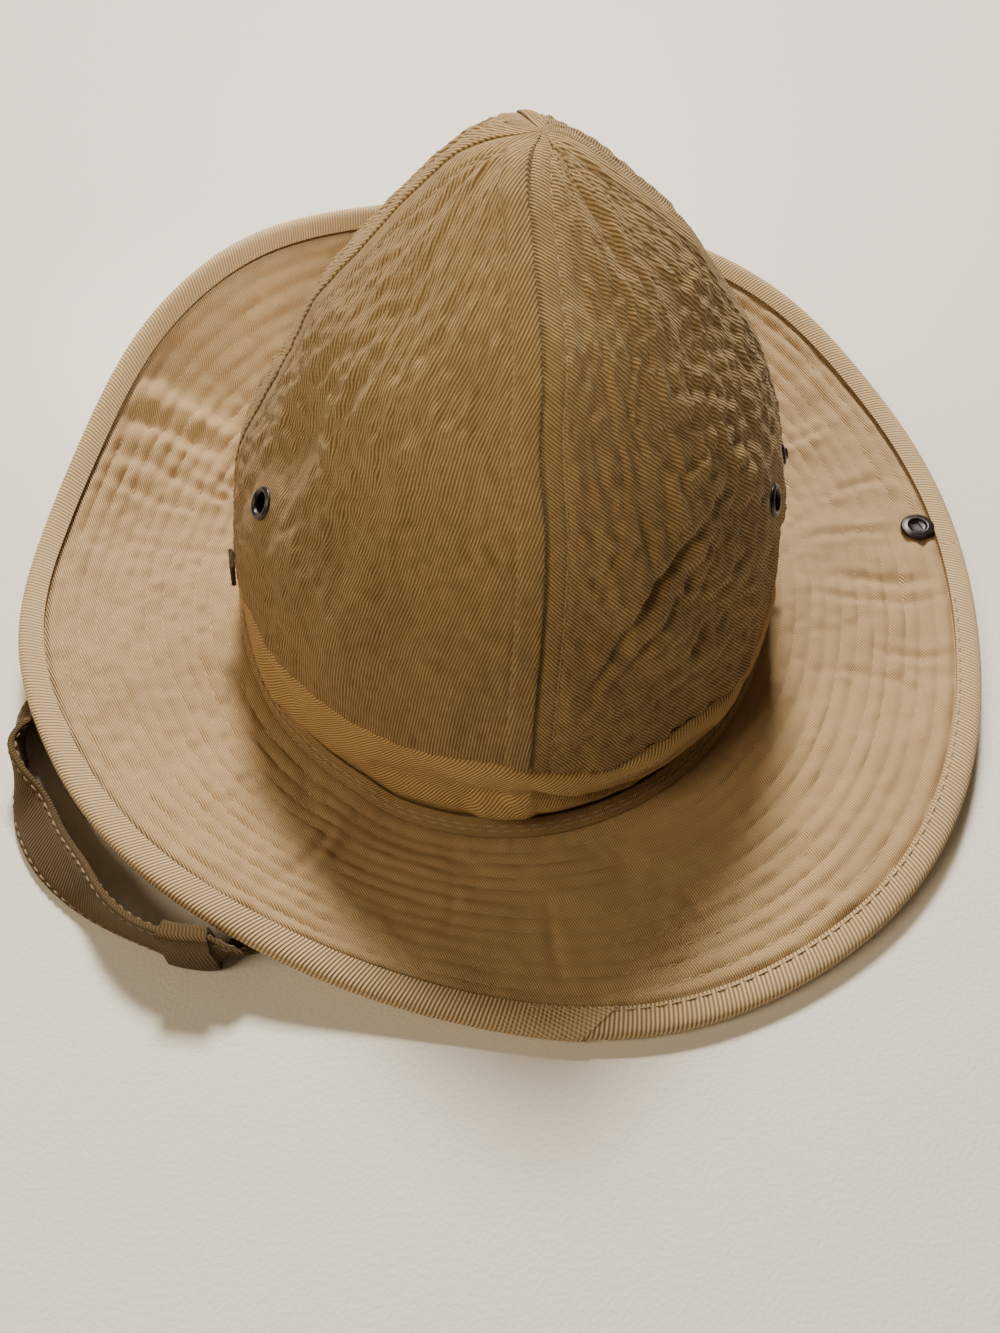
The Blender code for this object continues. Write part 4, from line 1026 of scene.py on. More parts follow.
# Crown. Four gores of twill joined by lapped seams, each topstitched on both sides, over a
# slack band that folds on itself. It stands by its own stiffness and sags between the seams.
CROWN_TOP = 0.1505
CROWN_LEAN = -0.0030
SEAM_TURN = math.radians(3.7)
GORE_COUNT = 4
CROWN_CLOTH = 0.0016
SEAM_WIDTH = 0.0085
SEAM_RISE = 0.0008
LAP_RISE = 0.0011
TOP_PRESS = 0.0024
TOP_PRESS_HALF = 0.015
LAP_ROW = -0.0060
SEAM_ROW = 0.0052
# Painted shade: the crown is the same cloth as the brim, but its colours are set darker than the
# brim's for the shade on it.
CROWN_SHADED_LIGHT = (0.43, 0.287, 0.129)
CROWN_SHADED_DARK = (0.160, 0.094, 0.032)
CrownSection = namedtuple("CrownSection", "height left right power")
CROWN_SECTIONS = (
    CrownSection(0.017, 1.006, 1.019, 2.00),
    CrownSection(0.106, 0.982, 0.995, 2.00),
    CrownSection(0.198, 0.958, 0.970, 1.97),
    CrownSection(0.304, 0.925, 0.950, 1.92),
    CrownSection(0.409, 0.867, 0.917, 1.86),
    CrownSection(0.515, 0.757, 0.847, 1.80),
    CrownSection(0.620, 0.642, 0.754, 1.74),
    CrownSection(0.726, 0.530, 0.626, 1.68),
    CrownSection(0.805, 0.400, 0.525, 1.66),
    CrownSection(0.871, 0.284, 0.399, 1.66),
    CrownSection(0.924, 0.186, 0.290, 1.70),
    CrownSection(0.964, 0.110, 0.205, 1.80),
    CrownSection(0.990, 0.010, 0.140, 1.90),
    CrownSection(1.000, -0.078, 0.108, 2.00),
)
CrownFold = namedtuple("CrownFold", "azimuth height lean length width depth")
CROWN_FOLDS = (
    CrownFold(297, 0.33, -48, 0.24, 0.040, 0.012),
    CrownFold(309, 0.42, -48, 0.26, 0.040, 0.013),
    CrownFold(322, 0.52, -44, 0.22, 0.045, 0.011),
    CrownFold(300, 0.62, -30, 0.22, 0.040, 0.008),
    CrownFold(246, 0.42, 8, 0.30, 0.050, 0.010),
    CrownFold(228, 0.50, 14, 0.26, 0.050, 0.010),
    CrownFold(205, 0.58, 20, 0.20, 0.050, 0.012),
    CrownFold(150, 0.45, -16, 0.28, 0.050, 0.010),
    CrownFold(118, 0.55, 18, 0.28, 0.050, 0.009),
    CrownFold(60, 0.42, 22, 0.28, 0.050, 0.010),
    CrownFold(30, 0.60, -18, 0.24, 0.050, 0.009),
)
SECTION_HEIGHT = table_column(CROWN_SECTIONS, "height") * CROWN_TOP
SECTION_LEFT = table_column(CROWN_SECTIONS, "left") * HEAD_WIDTH / 2
SECTION_RIGHT = table_column(CROWN_SECTIONS, "right") * HEAD_WIDTH / 2
SECTION_POWER = table_column(CROWN_SECTIONS, "power")
SECTION_HALF = (SECTION_LEFT + SECTION_RIGHT) / 2
SECTION_WAY = run_along(np.stack([SECTION_HEIGHT, SECTION_HALF], axis=-1))
CROWN_WAY = SECTION_WAY[-1]


def way_at_height(height):
    """How far up the crown's side a height is: the inverse of its curve of heights."""
    way = np.linspace(0, CROWN_WAY, 600)
    return np.interp(height, smooth_curve(SECTION_WAY, SECTION_HEIGHT, way), way)


def crown_folds(azimuth, height):
    """Depth of the broad folds: the sum of long soft dents, each a Gaussian turned by its lean."""
    depth = np.zeros(np.broadcast(azimuth, height).shape)
    for fold in CROWN_FOLDS:
        across = turn_from(azimuth, fold.azimuth) * HEAD_WIDTH / 2
        up = height - fold.height * CROWN_TOP
        lean = math.radians(fold.lean)
        along = up * math.cos(lean) + across * math.sin(lean)
        aside = across * math.cos(lean) - up * math.sin(lean)
        spread = (along / (fold.length * CROWN_TOP)) ** 2 * 4
        depth = depth + fold.depth * CROWN_TOP * np.exp(
            -spread - (aside / (fold.width * CROWN_TOP)) ** 2
        )
    return depth


def crown_oval(azimuth, way):
    """Point of the crown's smooth form: an oval with soft corners, its top pressed a little
    flat by a Gaussian of its half width."""
    left = smooth_curve(SECTION_WAY, SECTION_LEFT, way)
    right = smooth_curve(SECTION_WAY, SECTION_RIGHT, way)
    power = smooth_curve(SECTION_WAY, SECTION_POWER, way)
    height = smooth_curve(SECTION_WAY, SECTION_HEIGHT, way)
    half = (left + right) / 2
    turned = azimuth - SEAM_TURN
    corner = (np.abs(np.cos(turned)) ** power + np.abs(np.sin(turned)) ** power) ** (-1 / power)
    half_length = half * HEAD_LENGTH / HEAD_WIDTH
    x = (right - left) / 2 + half * corner * np.cos(azimuth)
    lean = CROWN_LEAN * (height / CROWN_TOP) ** 1.5
    y = lean + half_length * corner * np.sin(azimuth)
    z = height - TOP_PRESS * bell(half / TOP_PRESS_HALF) + 0 * x
    return np.stack([x + HEAD_MIDDLE[0], y + HEAD_MIDDLE[1], z], axis=-1)


# Sharper wrinkles of the crown, by azimuth and share of the way up.
CROWN_WRINKLES = (
    Wrinkle(282.2, 0.279, 297.0, 0.410, 322.8, 0.457, 0.0015, 0.0012),
    Wrinkle(285.8, 0.286, 299.0, 0.362, 320.8, 0.447, 0.0013, 0.0009),
    Wrinkle(290.2, 0.383, 298.8, 0.420, 309.8, 0.442, 0.0012, 0.0008),
    Wrinkle(303.0, 0.604, 313.0, 0.590, 323.0, 0.580, 0.0018, 0.0008),
    Wrinkle(288.4, 0.590, 289.2, 0.540, 289.8, 0.490, 0.0014, 0.0006),
    Wrinkle(299.4, 0.670, 300.4, 0.620, 301.2, 0.570, 0.0014, 0.0006),
    Wrinkle(303.4, 0.540, 302.8, 0.490, 302.0, 0.440, 0.0014, 0.0006),
    Wrinkle(296.0, 0.520, 297.0, 0.470, 296.4, 0.425, 0.0013, 0.0006),
    Wrinkle(309.0, 0.560, 309.6, 0.510, 308.6, 0.460, 0.0014, 0.0005),
    Wrinkle(293.0, 0.700, 294.4, 0.650, 295.0, 0.600, 0.0015, 0.0005),
    Wrinkle(284.0, 0.210, 300.0, 0.268, 318.0, 0.310, 0.0022, 0.0007),
    Wrinkle(330.0, 0.360, 322.0, 0.300, 312.0, 0.262, 0.0016, 0.0006),
    Wrinkle(222.0, 0.700, 218.0, 0.600, 212.0, 0.520, 0.0026, 0.0008),
    Wrinkle(236.0, 0.620, 230.0, 0.500, 226.0, 0.400, 0.0030, 0.0007),
    Wrinkle(248.0, 0.640, 244.0, 0.520, 242.0, 0.400, 0.0028, 0.0006),
    Wrinkle(206.0, 0.640, 203.0, 0.580, 198.0, 0.530, 0.0022, 0.0008),
    Wrinkle(100.0, 0.500, 112.0, 0.430, 130.0, 0.400, 0.0018, 0.0008),
    Wrinkle(60.0, 0.420, 46.0, 0.360, 30.0, 0.340, 0.0018, 0.0008),
    Wrinkle(150.0, 0.620, 146.0, 0.520, 140.0, 0.430, 0.0024, 0.0007),
    Wrinkle(20.0, 0.640, 28.0, 0.560, 40.0, 0.520, 0.0020, 0.0007),
)
EYELETS = {"eyelet_left": (204.2, 0.450), "eyelet_right": (339.5, 0.421)}


CROWN_NOISE = (Noise(26, 7, 1, 0.0010), Noise(60, 16, 2, 0.0006))
BEAD_NOISE = (Noise(176, 54, 3, 0.00051), Noise(176, 15, 4, 0.00015), Noise(300, 96, 12, 0.00027))
SEAM_NOISE = (Noise(96, 46, 31, 0.00038),)
LAP_EDGE = 0.0007
LAP_FLAT = 0.0052
LAP_RUNOUT = 0.0016
GUTTER_WIDTH = 0.0009
STITCH_DIP = 0.00040
STITCH_DIP_WIDTH = 0.0007
CALM_AZIMUTH = 246
CALM_HEIGHT = 0.30
ROUGH_AZIMUTH = 312
CROWN_ACROSS = 0.078
EYELET_CALM = 0.0075
TOP_FADE_HALF = 0.010
quarter = 2 * np.pi / GORE_COUNT


def crown_relief(azimuth, way):
    """Height of the seams and the crumpling over the crown's form.

    One gore's folded edge laps over the next with a quarter round, least at the sides, and the
    cloth dips at both topstitch rows. Beads of noise stand in upright rows that close up
    towards the top, over broader noise. They are weakest low on the front left and strongest
    on the front right. Round the eyelets all of it is flat.
    """
    off_seam = np.mod(azimuth - SEAM_TURN + quarter / 2, quarter) - quarter / 2
    half = smooth_curve(SECTION_WAY, SECTION_HALF, way)
    height = smooth_curve(SECTION_WAY, SECTION_HEIGHT, way)
    aside = off_seam * half
    front = smooth_step((-np.sin(azimuth) - 0.55) / 0.3)
    from_seam = np.abs(aside) / SEAM_WIDTH
    welt = SEAM_RISE * (0.5 + 0.5 * front) * (1 - smooth_step(from_seam - 0.5))
    inside = np.clip(-aside / LAP_EDGE, 0, 1)
    lap = LAP_RISE * np.sqrt(1 - (1 - inside) ** 2)
    lap = lap * (1 - smooth_step((-aside - LAP_FLAT) / LAP_RUNOUT)) * (0.30 + 0.70 * front)
    gutter = (0.0003 + 0.0006 * front) * bell(aside / GUTTER_WIDTH) * (aside > 0)
    rows = sum(bell((aside - row) / STITCH_DIP_WIDTH) for row in (LAP_ROW, SEAM_ROW))
    turn = azimuth / (2 * np.pi)
    up = way / CROWN_WAY
    size = np.clip(half / 0.060, 0.3, 1)
    calm = bell((np.degrees(azimuth) - CALM_AZIMUTH) / 30)
    calm = calm * (1 - smooth_step((up - CALM_HEIGHT) / 0.30))
    rough = bell((np.degrees(azimuth) - ROUGH_AZIMUTH) / 26)
    strength = (1.20 - 0.50 * calm + 0.55 * rough) * size
    crumple = noise_sum(CROWN_NOISE, turn, up) + noise_sum(BEAD_NOISE, turn, up) * strength
    crumple = crumple + noise_sum(SEAM_NOISE, turn, up) * bell((np.abs(aside) - 0.0078) / 0.0040)
    crumple = crumple * (0.30 + 0.70 * smooth_step(from_seam - 0.3))
    crumple = crumple - wrinkle_depth(CROWN_WRINKLES, azimuth, up, CROWN_ACROSS, CROWN_WAY)
    for eyelet_azimuth, eyelet_height in EYELETS.values():
        off = turn_from(azimuth, eyelet_azimuth) * half
        away = np.hypot(off, height - eyelet_height * CROWN_TOP)
        crumple = crumple * (1 - bell(away / EYELET_CALM))
    fade = smooth_step(half / TOP_FADE_HALF)
    raised = welt + lap - gutter - STITCH_DIP * rows
    return raised * np.maximum(fade, 0.20) + (crumple - crown_folds(azimuth, height)) * fade


def crown_outwards(azimuth, way):
    """Way out of the crown's smooth form: the cross of its ways round and up."""
    step = 0.0005
    around = crown_oval(azimuth + step, way) - crown_oval(azimuth - step, way)
    above = crown_oval(azimuth, np.minimum(way + step, CROWN_WAY))
    climb = above - crown_oval(azimuth, np.maximum(way - step, 0))
    return unit(np.cross(around, climb))


def crown_point(azimuth, way):
    """Outer face of the crown: its form, set out by its relief."""
    relief = crown_relief(azimuth, way)[..., None]
    return crown_oval(azimuth, way) + crown_outwards(azimuth, way) * relief


def band_top_way(azimuth):
    """How far up the crown's side the band ends."""
    return way_at_height(ring_value("band", azimuth) * BAND_HEIGHT)


def crown_finish(name, angle):
    """Twill of one gore, its ridges at the angle that the gore was cut to, with soft dark patches of
    painted shade for small puckers.
    """
    finish = Finish(name)
    place, (along, across, _) = finish.surface("cloth")
    weave = twill(finish, place, along, across, angle, 0.00082)
    colour = cloth_paint(finish, place, weave, CROWN_SHADED_LIGHT, CROWN_SHADED_DARK, 0.35, 40.0)
    # Painted shade: noise patches darken the colour towards the valley colour, as the shade of small
    # puckers.
    pucker_shade = finish.clouds(place, 310.0, 1.0).between(0.42, 0.66)
    colour = finish.mix(pucker_shade * 0.30, colour, CROWN_SHADED_DARK)
    return finish.paint(colour, weave, 0.00017)


GORE_EDGE_COLUMNS = 26
GORE_MIDDLE_COLUMNS = 112
GORE_ROWS = 212
GORE_INNER_ROWS = 30
EDGE_STRIP = 0.0090
GORES = (
    ("crown_gore_back_right", 124),
    ("crown_gore_back_left", 90),
    ("crown_gore_front_left", 90),
    ("crown_gore_front_right", 124),
)
top_ring = crown_point(np.linspace(0, 2 * np.pi, 360, endpoint=False), np.full(360, CROWN_WAY))
apex = top_ring.mean(axis=0) - np.array([0, 0, 0.0003])


def gore_shares(half):
    """Where a gore's columns lie, as shares of its width: close together beside both seams,
    over EDGE_STRIP metres of cloth, and wider apart between them."""
    strip = np.minimum(EDGE_STRIP / (half * quarter), 0.3)
    edge = np.linspace(0, 1, GORE_EDGE_COLUMNS, endpoint=False)
    middle = np.linspace(0, 1, GORE_MIDDLE_COLUMNS, endpoint=False)
    return np.concatenate(
        [strip * edge, strip + (1 - 2 * strip) * middle, 1 - strip + strip * np.append(edge, 1)],
        axis=-1,
    )


def gore_sheet(start, count):
    """Azimuths and ways of a gore's points, in count + 1 rows from the band to the top."""
    rise = np.linspace(0, 1, count + 1)[:, None]
    middle_foot = float(band_top_way(np.array(start + quarter / 2)))
    row_way = middle_foot + (CROWN_WAY - middle_foot) * rise
    share = gore_shares(smooth_curve(SECTION_WAY, SECTION_HALF, row_way))
    foot_way = band_top_way(start + share * quarter) + GAP
    way = foot_way + (CROWN_WAY - foot_way) * rise
    half = smooth_curve(SECTION_WAY, SECTION_HALF, way)
    seam_gap = np.minimum(0.00006 / half, 0.02)
    return start + np.clip(share * quarter, seam_gap, quarter - seam_gap), way, half


TOP_PARTS = (0.75, 0.5, 0.25, 0.02)


def close_top(points, top):
    """Rows that draw the last row in to the top, where all four gores meet."""
    return np.array([top + (points[-1] - top) * part for part in TOP_PARTS])


def cut_away(piece, shape):
    """Cut a closed shape out of a piece."""
    mesh = bpy.data.meshes.new("cutter")
    shape.to_mesh(mesh)
    shape.free()
    cutter = bpy.data.objects.new("cutter", mesh)
    bpy.context.scene.collection.objects.link(cutter)
    boolean = piece.modifiers.new("cut", "BOOLEAN")
    boolean.object = cutter
    boolean.solver = "EXACT"
    bpy.context.view_layer.update()
    result = piece.evaluated_get(bpy.context.evaluated_depsgraph_get())
    piece.data = bpy.data.meshes.new_from_object(result)
    piece.modifiers.clear()
    bpy.data.objects.remove(cutter)


def bore_hole(piece, place, axes, radius, depth):
    """Cut a round hole through a piece, square to its face."""
    shape = bmesh.new()
    bmesh.ops.create_cone(
        shape, cap_ends=True, segments=40, radius1=radius, radius2=radius, depth=depth
    )
    turned = np.array([vertex.co for vertex in shape.verts]) @ axes + place
    for vertex, point in zip(shape.verts, turned):
        vertex.co = point
    cut_away(piece, shape)


def crown_place(azimuth_degrees, height_share):
    """A place on the crown, with three ways as rows: aside, upwards and out of the cloth."""
    azimuth = np.array(math.radians(azimuth_degrees))
    way = np.array(float(way_at_height(height_share * CROWN_TOP)))
    point = crown_point(azimuth, way)
    upwards = crown_point(azimuth, way + 0.004) - point
    aside = crown_point(azimuth + math.radians(2), way) - point
    out = unit(np.cross(aside, upwards))
    upwards = unit(upwards - out * (upwards @ out))
    return point, np.array([np.cross(upwards, out), upwards, out])


EYELET_BORE = 0.0058
HOLE_GAP = 0.0004
HOLE_DEPTH = 0.014
INNER_SLACK = 0.0012
INNER_FADE_HALF = 0.008
for index, (gore_name, angle) in enumerate(GORES):
    start = SEAM_TURN + index * quarter
    azimuth, way, half = gore_sheet(start, GORE_ROWS)
    outer = crown_point(azimuth, way)
    cloth = np.stack([(azimuth - start - quarter / 2) * half, way], axis=-1)
    azimuth, way, half = gore_sheet(start, GORE_INNER_ROWS)
    fold = crown_folds(azimuth, smooth_curve(SECTION_WAY, SECTION_HEIGHT, way))
    fade = smooth_step(half / INNER_FADE_HALF)
    depth = (CROWN_CLOTH + INNER_SLACK) * fade + fold * smooth_step(half / TOP_FADE_HALF)
    inner = crown_oval(azimuth, way) - crown_outwards(azimuth, way) * depth[..., None]
    inner_cloth = np.stack([(azimuth - start - quarter / 2) * half, way], axis=-1)
    thick = np.array([0, 0, CROWN_CLOTH])
    inner = inner - thick * (1 - fade)[..., None]
    outside = np.concatenate([outer, close_top(outer, apex)])
    inside = np.concatenate([inner, close_top(inner, apex - thick)])
    top_maps = [np.repeat(rows[-1:], len(TOP_PARTS), axis=0) for rows in (cloth, inner_cloth)]
    gore_map = [("cloth", np.concatenate([cloth, *top_maps, inner_cloth[::-1]]))]
    sheet = np.concatenate([outside, inside[::-1]])
    gore = grid_piece(gore_name + "_twill", sheet, ring_along=True, maps=gore_map)
    gore.data.materials.append(crown_finish(gore_name + "_twill", angle))
    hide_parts(gore_name)
    for eyelet_azimuth, eyelet_height in EYELETS.values():
        if start < math.radians(eyelet_azimuth) < start + quarter:
            place, axes = crown_place(eyelet_azimuth, eyelet_height)
            bore_hole(gore, place, axes, EYELET_BORE / 2 + HOLE_GAP, HOLE_DEPTH)

crown_thread = thread_finish("crown_thread", (0.36, 0.245, 0.115))
TOPSTITCH_PITCH = 0.0036
TOPSTITCH_END = 0.972
topstitch = []
for index in range(GORE_COUNT):
    seam = SEAM_TURN + index * quarter
    for offset in (LAP_ROW, SEAM_ROW):
        foot_way = float(band_top_way(np.array(seam))) + 0.001
        way = np.linspace(foot_way, CROWN_WAY * TOPSTITCH_END, 700)
        half = smooth_curve(SECTION_WAY, SECTION_HALF, way)
        azimuth = seam + offset / np.maximum(half, 0.008)
        seat, facing = crown_point(azimuth, way), crown_outwards(azimuth, way)
        topstitch.append(stitches_along(seat, facing, TOPSTITCH_PITCH))
crown_stitches = stitch_piece("crown_topstitches", topstitch, 0.00025, crown_thread)

# Hat band. A slack strip of the same twill between crown and brim, creased along its length.
BandFold = namedtuple("BandFold", "start start_height end end_height width depth")
BAND_FOLDS = (
    BandFold(192, 0.62, 246, 0.66, 0.16, 0.050),
    BandFold(240, 0.64, 272, 0.40, 0.16, 0.060),
    BandFold(272, 0.52, 324, 0.14, 0.20, 0.110),
    BandFold(262, 0.30, 276, 0.30, 0.16, -0.060),
    BandFold(20, 0.55, 70, 0.60, 0.18, 0.045),
    BandFold(95, 0.50, 160, 0.58, 0.18, 0.045),
)
BAND_SEAT = TAPE_WIDTH + GAP


def band_folds(azimuth, share):
    """Depth of the folds along the band: Gaussian grooves between two places each."""
    depth = np.zeros(np.broadcast(azimuth, share).shape)
    degrees = np.degrees(azimuth)
    for fold in BAND_FOLDS:
        along = np.mod(degrees - fold.start + 180, 360) - 180
        part = along / (fold.end - fold.start)
        middle = fold.start_height + (fold.end_height - fold.start_height) * part
        inside = smooth_step(part / 0.25) * smooth_step((1 - part) / 0.25)
        groove = bell((share - middle) / fold.width)
        depth = depth + fold.depth * BAND_HEIGHT * inside * groove
    return depth


# Sharper folds of the band, by azimuth and share of its height.
BAND_WRINKLES = (
    Wrinkle(274.0, 0.60, 290.0, 0.40, 316.0, 0.16, 0.0019, 0.0038),
    Wrinkle(298.0, 0.44, 312.0, 0.34, 330.0, 0.40, 0.0016, 0.0012),
    Wrinkle(252.0, 0.68, 264.0, 0.58, 272.0, 0.38, 0.0016, 0.0012),
    Wrinkle(224.0, 0.88, 242.0, 0.84, 262.0, 0.78, 0.0028, 0.0012),
    Wrinkle(262.0, 0.52, 268.0, 0.54, 274.0, 0.60, 0.0012, 0.0007),
    Wrinkle(274.6, 0.60, 274.0, 0.50, 273.0, 0.42, 0.0016, -0.0004),
    Wrinkle(244.0, 0.56, 252.0, 0.50, 262.0, 0.40, 0.0016, 0.0006),
    Wrinkle(214.0, 0.60, 226.0, 0.50, 240.0, 0.44, 0.0022, 0.0006),
    Wrinkle(30.0, 0.50, 50.0, 0.62, 74.0, 0.54, 0.0020, 0.0010),
    Wrinkle(110.0, 0.60, 130.0, 0.46, 152.0, 0.56, 0.0020, 0.0010),
)


BAND_NOISE = (Noise(40, 3, 21, 0.0009), Noise(110, 6, 22, 0.00035))
ROLL_AZIMUTH = 296
TUCK_DEPTH = 0.0011


def band_point(azimuth, share):
    """Outer face of the band: upright behind the tape, then out to the crown's face.

    The share is 0 at the tape's top and 1 at the band's own top. Below 0 it is a share of
    the tape's height. The top rolls out as half a sine, and tucks in under the crown.
    """
    foot, out = opening_point(azimuth)
    seat_height = BRIM_CLOTH + GAP + tunnel_lift(azimuth)
    tape_top = seat_height + TAPE_HEIGHT
    top_height = smooth_curve(SECTION_WAY, SECTION_HEIGHT, band_top_way(azimuth) - GAP)
    height = tape_top + np.where(share < 0, TAPE_HEIGHT, top_height - tape_top) * share
    seat = foot - out * BAND_SEAT + HEAD_MIDDLE
    face = crown_oval(azimuth, way_at_height(height))
    blend = smooth_step((height - tape_top) / (BAND_HEIGHT / 3))[..., None]
    turn = azimuth / (2 * np.pi)
    up = np.clip(share, 0, 1)
    crumple = noise_sum(BAND_NOISE, turn, up) * smooth_step(up * 3) * smooth_step((1 - up) * 8)
    right = bell((np.degrees(azimuth) - ROLL_AZIMUTH) / 26)
    roll = (0.0004 + 0.0014 * right) * np.sin(np.pi * np.clip((up - 0.62) / 0.40, 0, 1))
    tuck = TUCK_DEPTH * smooth_step((up - 0.94) / 0.06)
    wrinkled = wrinkle_depth(BAND_WRINKLES, azimuth, up, 0.092, 0.021)
    inwards = band_folds(azimuth, share) + crumple + wrinkled * smooth_step(up * 6) - roll + tuck
    plan = seat * (1 - blend) + face[..., :2] * blend - out * inwards[..., None]
    return np.concatenate([plan, height[..., None]], axis=-1)


BAND_AROUND = 720
BAND_ROWS = 46
BAND_CUT_HEIGHT = 0.026
BAND_CUT_LENGTH = 0.59
INNER_EVERY = 5
share = np.concatenate([[-1.0], np.linspace(0, 1, BAND_ROWS)])[:, None]
azimuth = (np.arange(BAND_AROUND) * 2 * np.pi / BAND_AROUND)[None, :] + 0 * share
outer = band_point(azimuth, share + 0 * azimuth)
_, out = opening_point(azimuth)
inner = (outer - np.concatenate([out, 0 * out[..., :1]], axis=-1) * BAND_CLOTH)[::INNER_EVERY]
band_height = np.concatenate([share[:, 0], share[::INNER_EVERY][::-1, 0]]) * BAND_CUT_HEIGHT
band_map = grid_map(band_height, np.linspace(0, BAND_CUT_LENGTH, BAND_AROUND + 1))[..., ::-1]
band = grid_piece(
    "hat_band_cloth", np.concatenate([outer, inner[::-1]]), ring_across=True, ring_along=True,
    maps=[("cloth", band_map)],
)
# The band is cut on the cross: its ridges run nearly level.
# Painted light: the band is the same twill as the crown, so its colours, the crown's multiplied by
# 1.66 and 1.80, paint it lighter than the crown.
band_light, band_dark = tinted(CROWN_SHADED_LIGHT, 1.66), tinted(CROWN_SHADED_DARK, 1.80)
band.data.materials.append(
    twill_cloth("hat_band_twill", 38, 0.00075, 0.0002, band_light, band_dark, 0.3)
)
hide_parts("hat_band")


# Fittings. Blackened press stud and eyelets, turned and pressed from sheet, and the small dark tab at
# the left seam, coloured near black as painted shade for the slot there. The cap under the brim and
# the tab keep their imported shapes.
def metal_finish():
    """Oxidised metal: dark, half gloss, rubbed lighter in patches."""
    finish = Finish("blackened_metal", 0.34, 0.0)
    place, _ = finish.surface()
    wear = finish.clouds(place, 420.0, 3.0)
    colour = finish.mix(wear.between(0.35, 0.75), (0.030, 0.024, 0.026), (0.085, 0.070, 0.070))
    finish.shader.inputs["Metallic"].default_value = 0.75
    finish.shader.inputs["Specular IOR Level"].default_value = 0.5
    return finish.paint(colour, wear, 0.00004, 0.5, wear * 0.2 + 0.26)


def shaded_tab_finish():
    """Painted shade: dark brown cloth, near black, for the shade in the slot at the left seam,
    darkest in the valleys of its weave.
    """
    finish = Finish("side_tab_shade_cloth")
    place, (x, _, z) = finish.surface()
    weave = twill(finish, place, x, z, 40, 0.0007)
    colour = cloth_paint(finish, place, weave, (0.085, 0.05, 0.03), (0.03, 0.018, 0.01))
    return finish.paint(colour, weave)


def turned_piece(name, profile, place, axes, sides=56):
    """A closed profile of radius and height turned round the axis out of the cloth."""
    profile = np.array(profile)
    angle = np.arange(sides) * 2 * np.pi / sides
    radius, rise = profile[:, 0, None], profile[:, 1, None]
    shape = np.stack([radius * np.cos(angle), radius * np.sin(angle), rise + 0 * angle], axis=-1)
    return grid_piece(name, shape @ axes + place, ring_across=True, ring_along=True)


def arc(middle, radius, start, end):
    """Seven points of a circular arc in a profile, its angles in degrees."""
    angle = np.radians(np.linspace(start, end, 7))
    way_out = np.stack([np.cos(angle), np.sin(angle)], axis=-1)
    return (np.array(middle) + radius * way_out).tolist()


blackened = metal_finish()
bore = EYELET_BORE / 2
for eyelet, (eyelet_azimuth, eyelet_height) in EYELETS.items():
    place, axes = crown_place(eyelet_azimuth, eyelet_height)
    profile = (
        [(bore, -0.0027), (bore, 0.0001)]
        + arc((bore + 0.0009, 0.0001), 0.0009, 180, 70)
        + arc((0.0041, 0.0002), 0.0005, 70, -10)
        + [(0.0040, 0.0), (0.0033, -0.0001), (0.0033, -0.0019), (0.0042, -0.0021), (0.0040, -0.0027)]
    )
    ring = turned_piece(eyelet + "_turned", profile, place, axes)
    ring.data.materials.append(blackened)
    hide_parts(eyelet)

# Press stud. The socket is a flat cap with a rolled ring and a slot; the stud on the crown is
# a low dome.
SnapPlace = namedtuple("SnapPlace", "azimuth from_edge radius slot_length slot_width slot_turn")
SNAP = SnapPlace(3.2, 0.0124, 0.0055, 0.0040, 0.0023, 100)
snap_turn = np.array([math.radians(SNAP.azimuth)])
snap_share = edge_share(snap_turn, SNAP.from_edge)
point, along, up = (value[0] for value in brim_frame(snap_turn, snap_share))
snap_axes = np.array([along, np.cross(up, along), up])
base = BRIM_CLOTH / 2 + GAP
profile = (
    [(0.0001, -base), (0.0001, base + 0.0007), (0.0020, base + 0.0007), (0.0026, base + 0.0008)]
    + arc((0.0034, base + 0.0009), 0.0006, 160, 60)
    + arc((SNAP.radius - 0.0009, base + 0.0005), 0.0009, 60, -10)
    + [(SNAP.radius - 0.0004, base), (0.0018, base), (0.0018, -base)]
)
socket = turned_piece("snap_socket_turned", profile, point, snap_axes, 64)
slot_turn = math.radians(SNAP.slot_turn)
shape = bmesh.new()
bmesh.ops.create_cube(shape, size=1.0)
for vertex in shape.verts:
    x, y, z = vertex.co
    x, y = x * SNAP.slot_length, y * SNAP.slot_width
    flat = (
        x * math.cos(slot_turn) - y * math.sin(slot_turn),
        x * math.sin(slot_turn) + y * math.cos(slot_turn),
        base + 0.0008 + z * 0.0010,
    )
    vertex.co = np.array(flat) @ snap_axes + point
cut_away(socket, shape)
socket.data.materials.clear()
socket.data.materials.append(blackened)
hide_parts("snap_socket")

place, axes = crown_place(354.0, 0.400)
profile = (
    [(0.0001, 0.0003), (0.0001, 0.0015), (0.0008, 0.0015)]
    + arc((0.0012, 0.0010), 0.0005, 80, 10)
    + [(0.0019, 0.0008), (0.0030, 0.0006), (0.0033, 0.0003)]
)
stud = turned_piece("snap_stud_turned", profile, place, axes)
stud.data.materials.append(blackened)
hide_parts("snap_stud")

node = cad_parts["snap_cap"]
for place in range(len(node.material_slots)):
    node.material_slots[place].material = blackened
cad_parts["side_tab"].material_slots[0].material = shaded_tab_finish()


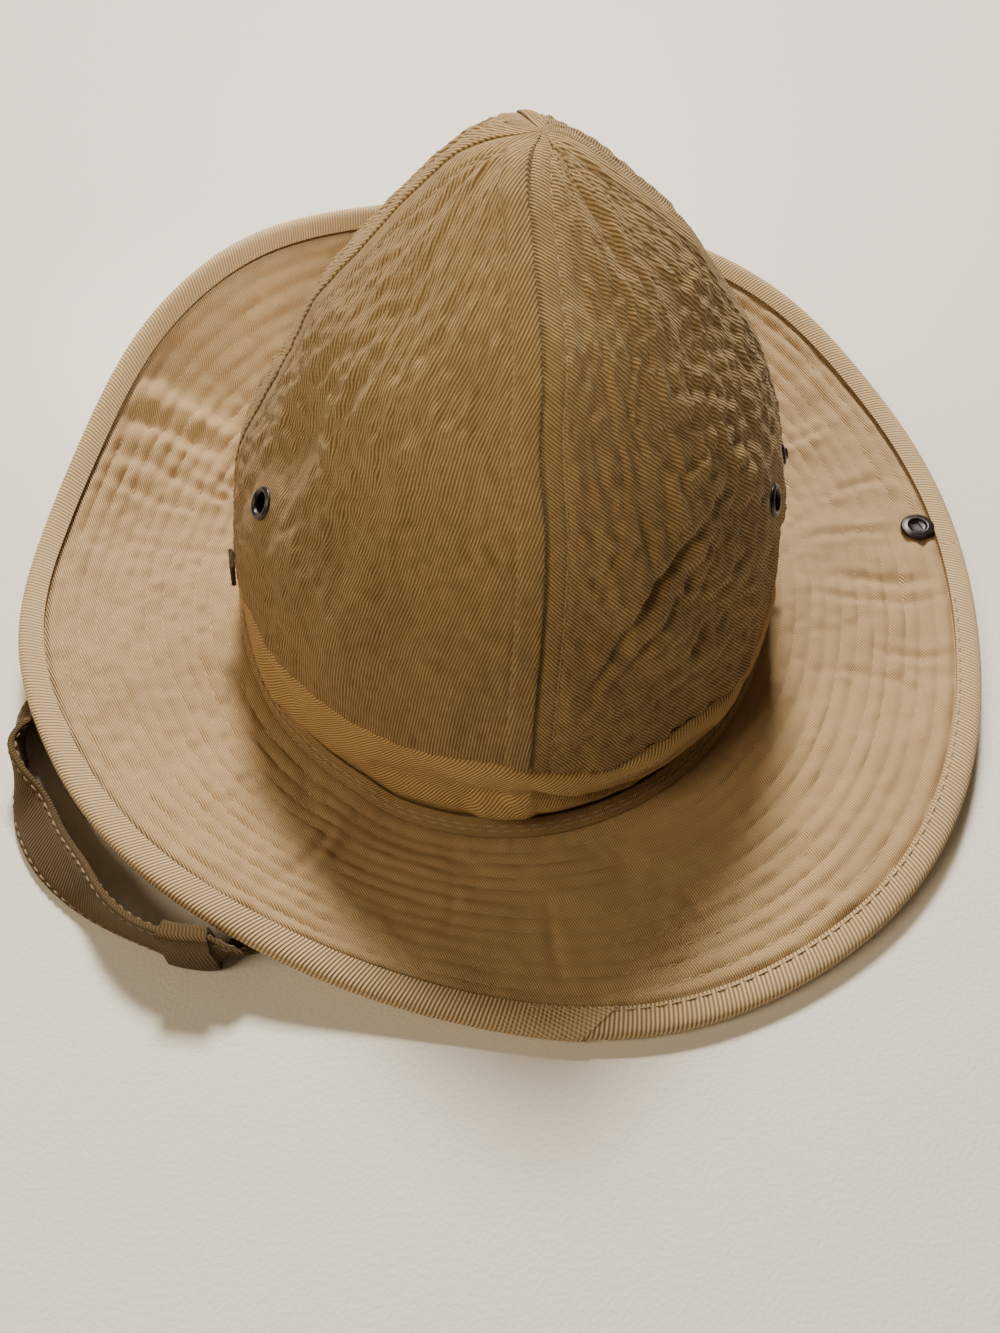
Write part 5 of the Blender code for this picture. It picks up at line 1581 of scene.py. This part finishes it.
# Table top and light. A pale cream table. The main lamp stands far behind the hat, with a weak
# one near it. A warm lamp fills in from the left, and two narrow soft beams lift the top of
# the crown and the left back of the brim.
table = bpy.data.objects.new("table_top", bpy.data.meshes.new("table_top"))
table.data.from_pydata([(-2, -2, 0), (2, -2, 0), (2, 2, 0), (-2, 2, 0)], [], [(0, 1, 2, 3)])
table.location = (0, 0, -0.0001)
bpy.context.scene.collection.objects.link(table)
top_finish = Finish("table_top_cream", 0.45, 0.0)
top_place, _ = top_finish.surface()
grain = top_finish.clouds(top_place, 900.0, 2.0)
top_tone = top_finish.mix(grain * 0.3, (0.95, 0.90, 0.82), (0.90, 0.85, 0.76))
table.data.materials.append(top_finish.paint(top_tone, grain, 0.00030, 0.7))

Lamp = namedtuple("Lamp", "name place aim size power colour beam")
HAT = (0, 0, 0.05)
CROWN_SPOT = (0.000, -0.034, 0.122)
BRIM_SPOT = (-0.085, 0.095, 0.040)
LAMPS = (
    Lamp("far_lamp", (-0.030, 1.580, 1.690), HAT, 0.36, 86.0, (1.0, 0.95, 0.86), 0),
    Lamp("desk_lamp", (-0.020, 0.300, 0.440), HAT, 0.08, 0.8, (1.0, 0.95, 0.88), 0),
    Lamp("ceiling_lamp", (-1.200, -0.600, 1.540), HAT, 0.70, 16.0, (1.0, 0.82, 0.54), 0),
    Lamp("crown_lamp", (-0.060, -1.000, 0.950), CROWN_SPOT, 0.05, 84.0, (1.0, 0.90, 0.74), 3.8),
    Lamp("brim_lamp", (0.350, -0.350, 0.900), BRIM_SPOT, 0.05, 50.0, (1.0, 0.94, 0.86), 7.5),
)
ROOM_COLOUR = (1.0, 0.82, 0.58, 1)
ROOM_STRENGTH = 0.085
for lamp in LAMPS:
    light = bpy.data.lights.new(lamp.name, "SPOT" if lamp.beam else "AREA")
    light.energy = lamp.power
    light.color = lamp.colour
    if lamp.beam:
        light.spot_size = math.radians(lamp.beam)
        light.spot_blend = 1.0
        light.shadow_soft_size = lamp.size
    else:
        light.size = lamp.size
    holder = bpy.data.objects.new(lamp.name, light)
    holder.location = lamp.place
    aim = np.array(lamp.aim) - np.array(lamp.place)
    pitch = math.atan2(math.hypot(aim[0], aim[1]), -aim[2])
    holder.rotation_euler = (pitch, 0, math.atan2(aim[1], aim[0]) - math.pi / 2)
    bpy.context.scene.collection.objects.link(holder)
world = bpy.data.worlds.new("room")
bpy.context.scene.world = world
world.use_nodes = True
world.node_tree.nodes["Background"].inputs[0].default_value = ROOM_COLOUR
world.node_tree.nodes["Background"].inputs[1].default_value = ROOM_STRENGTH
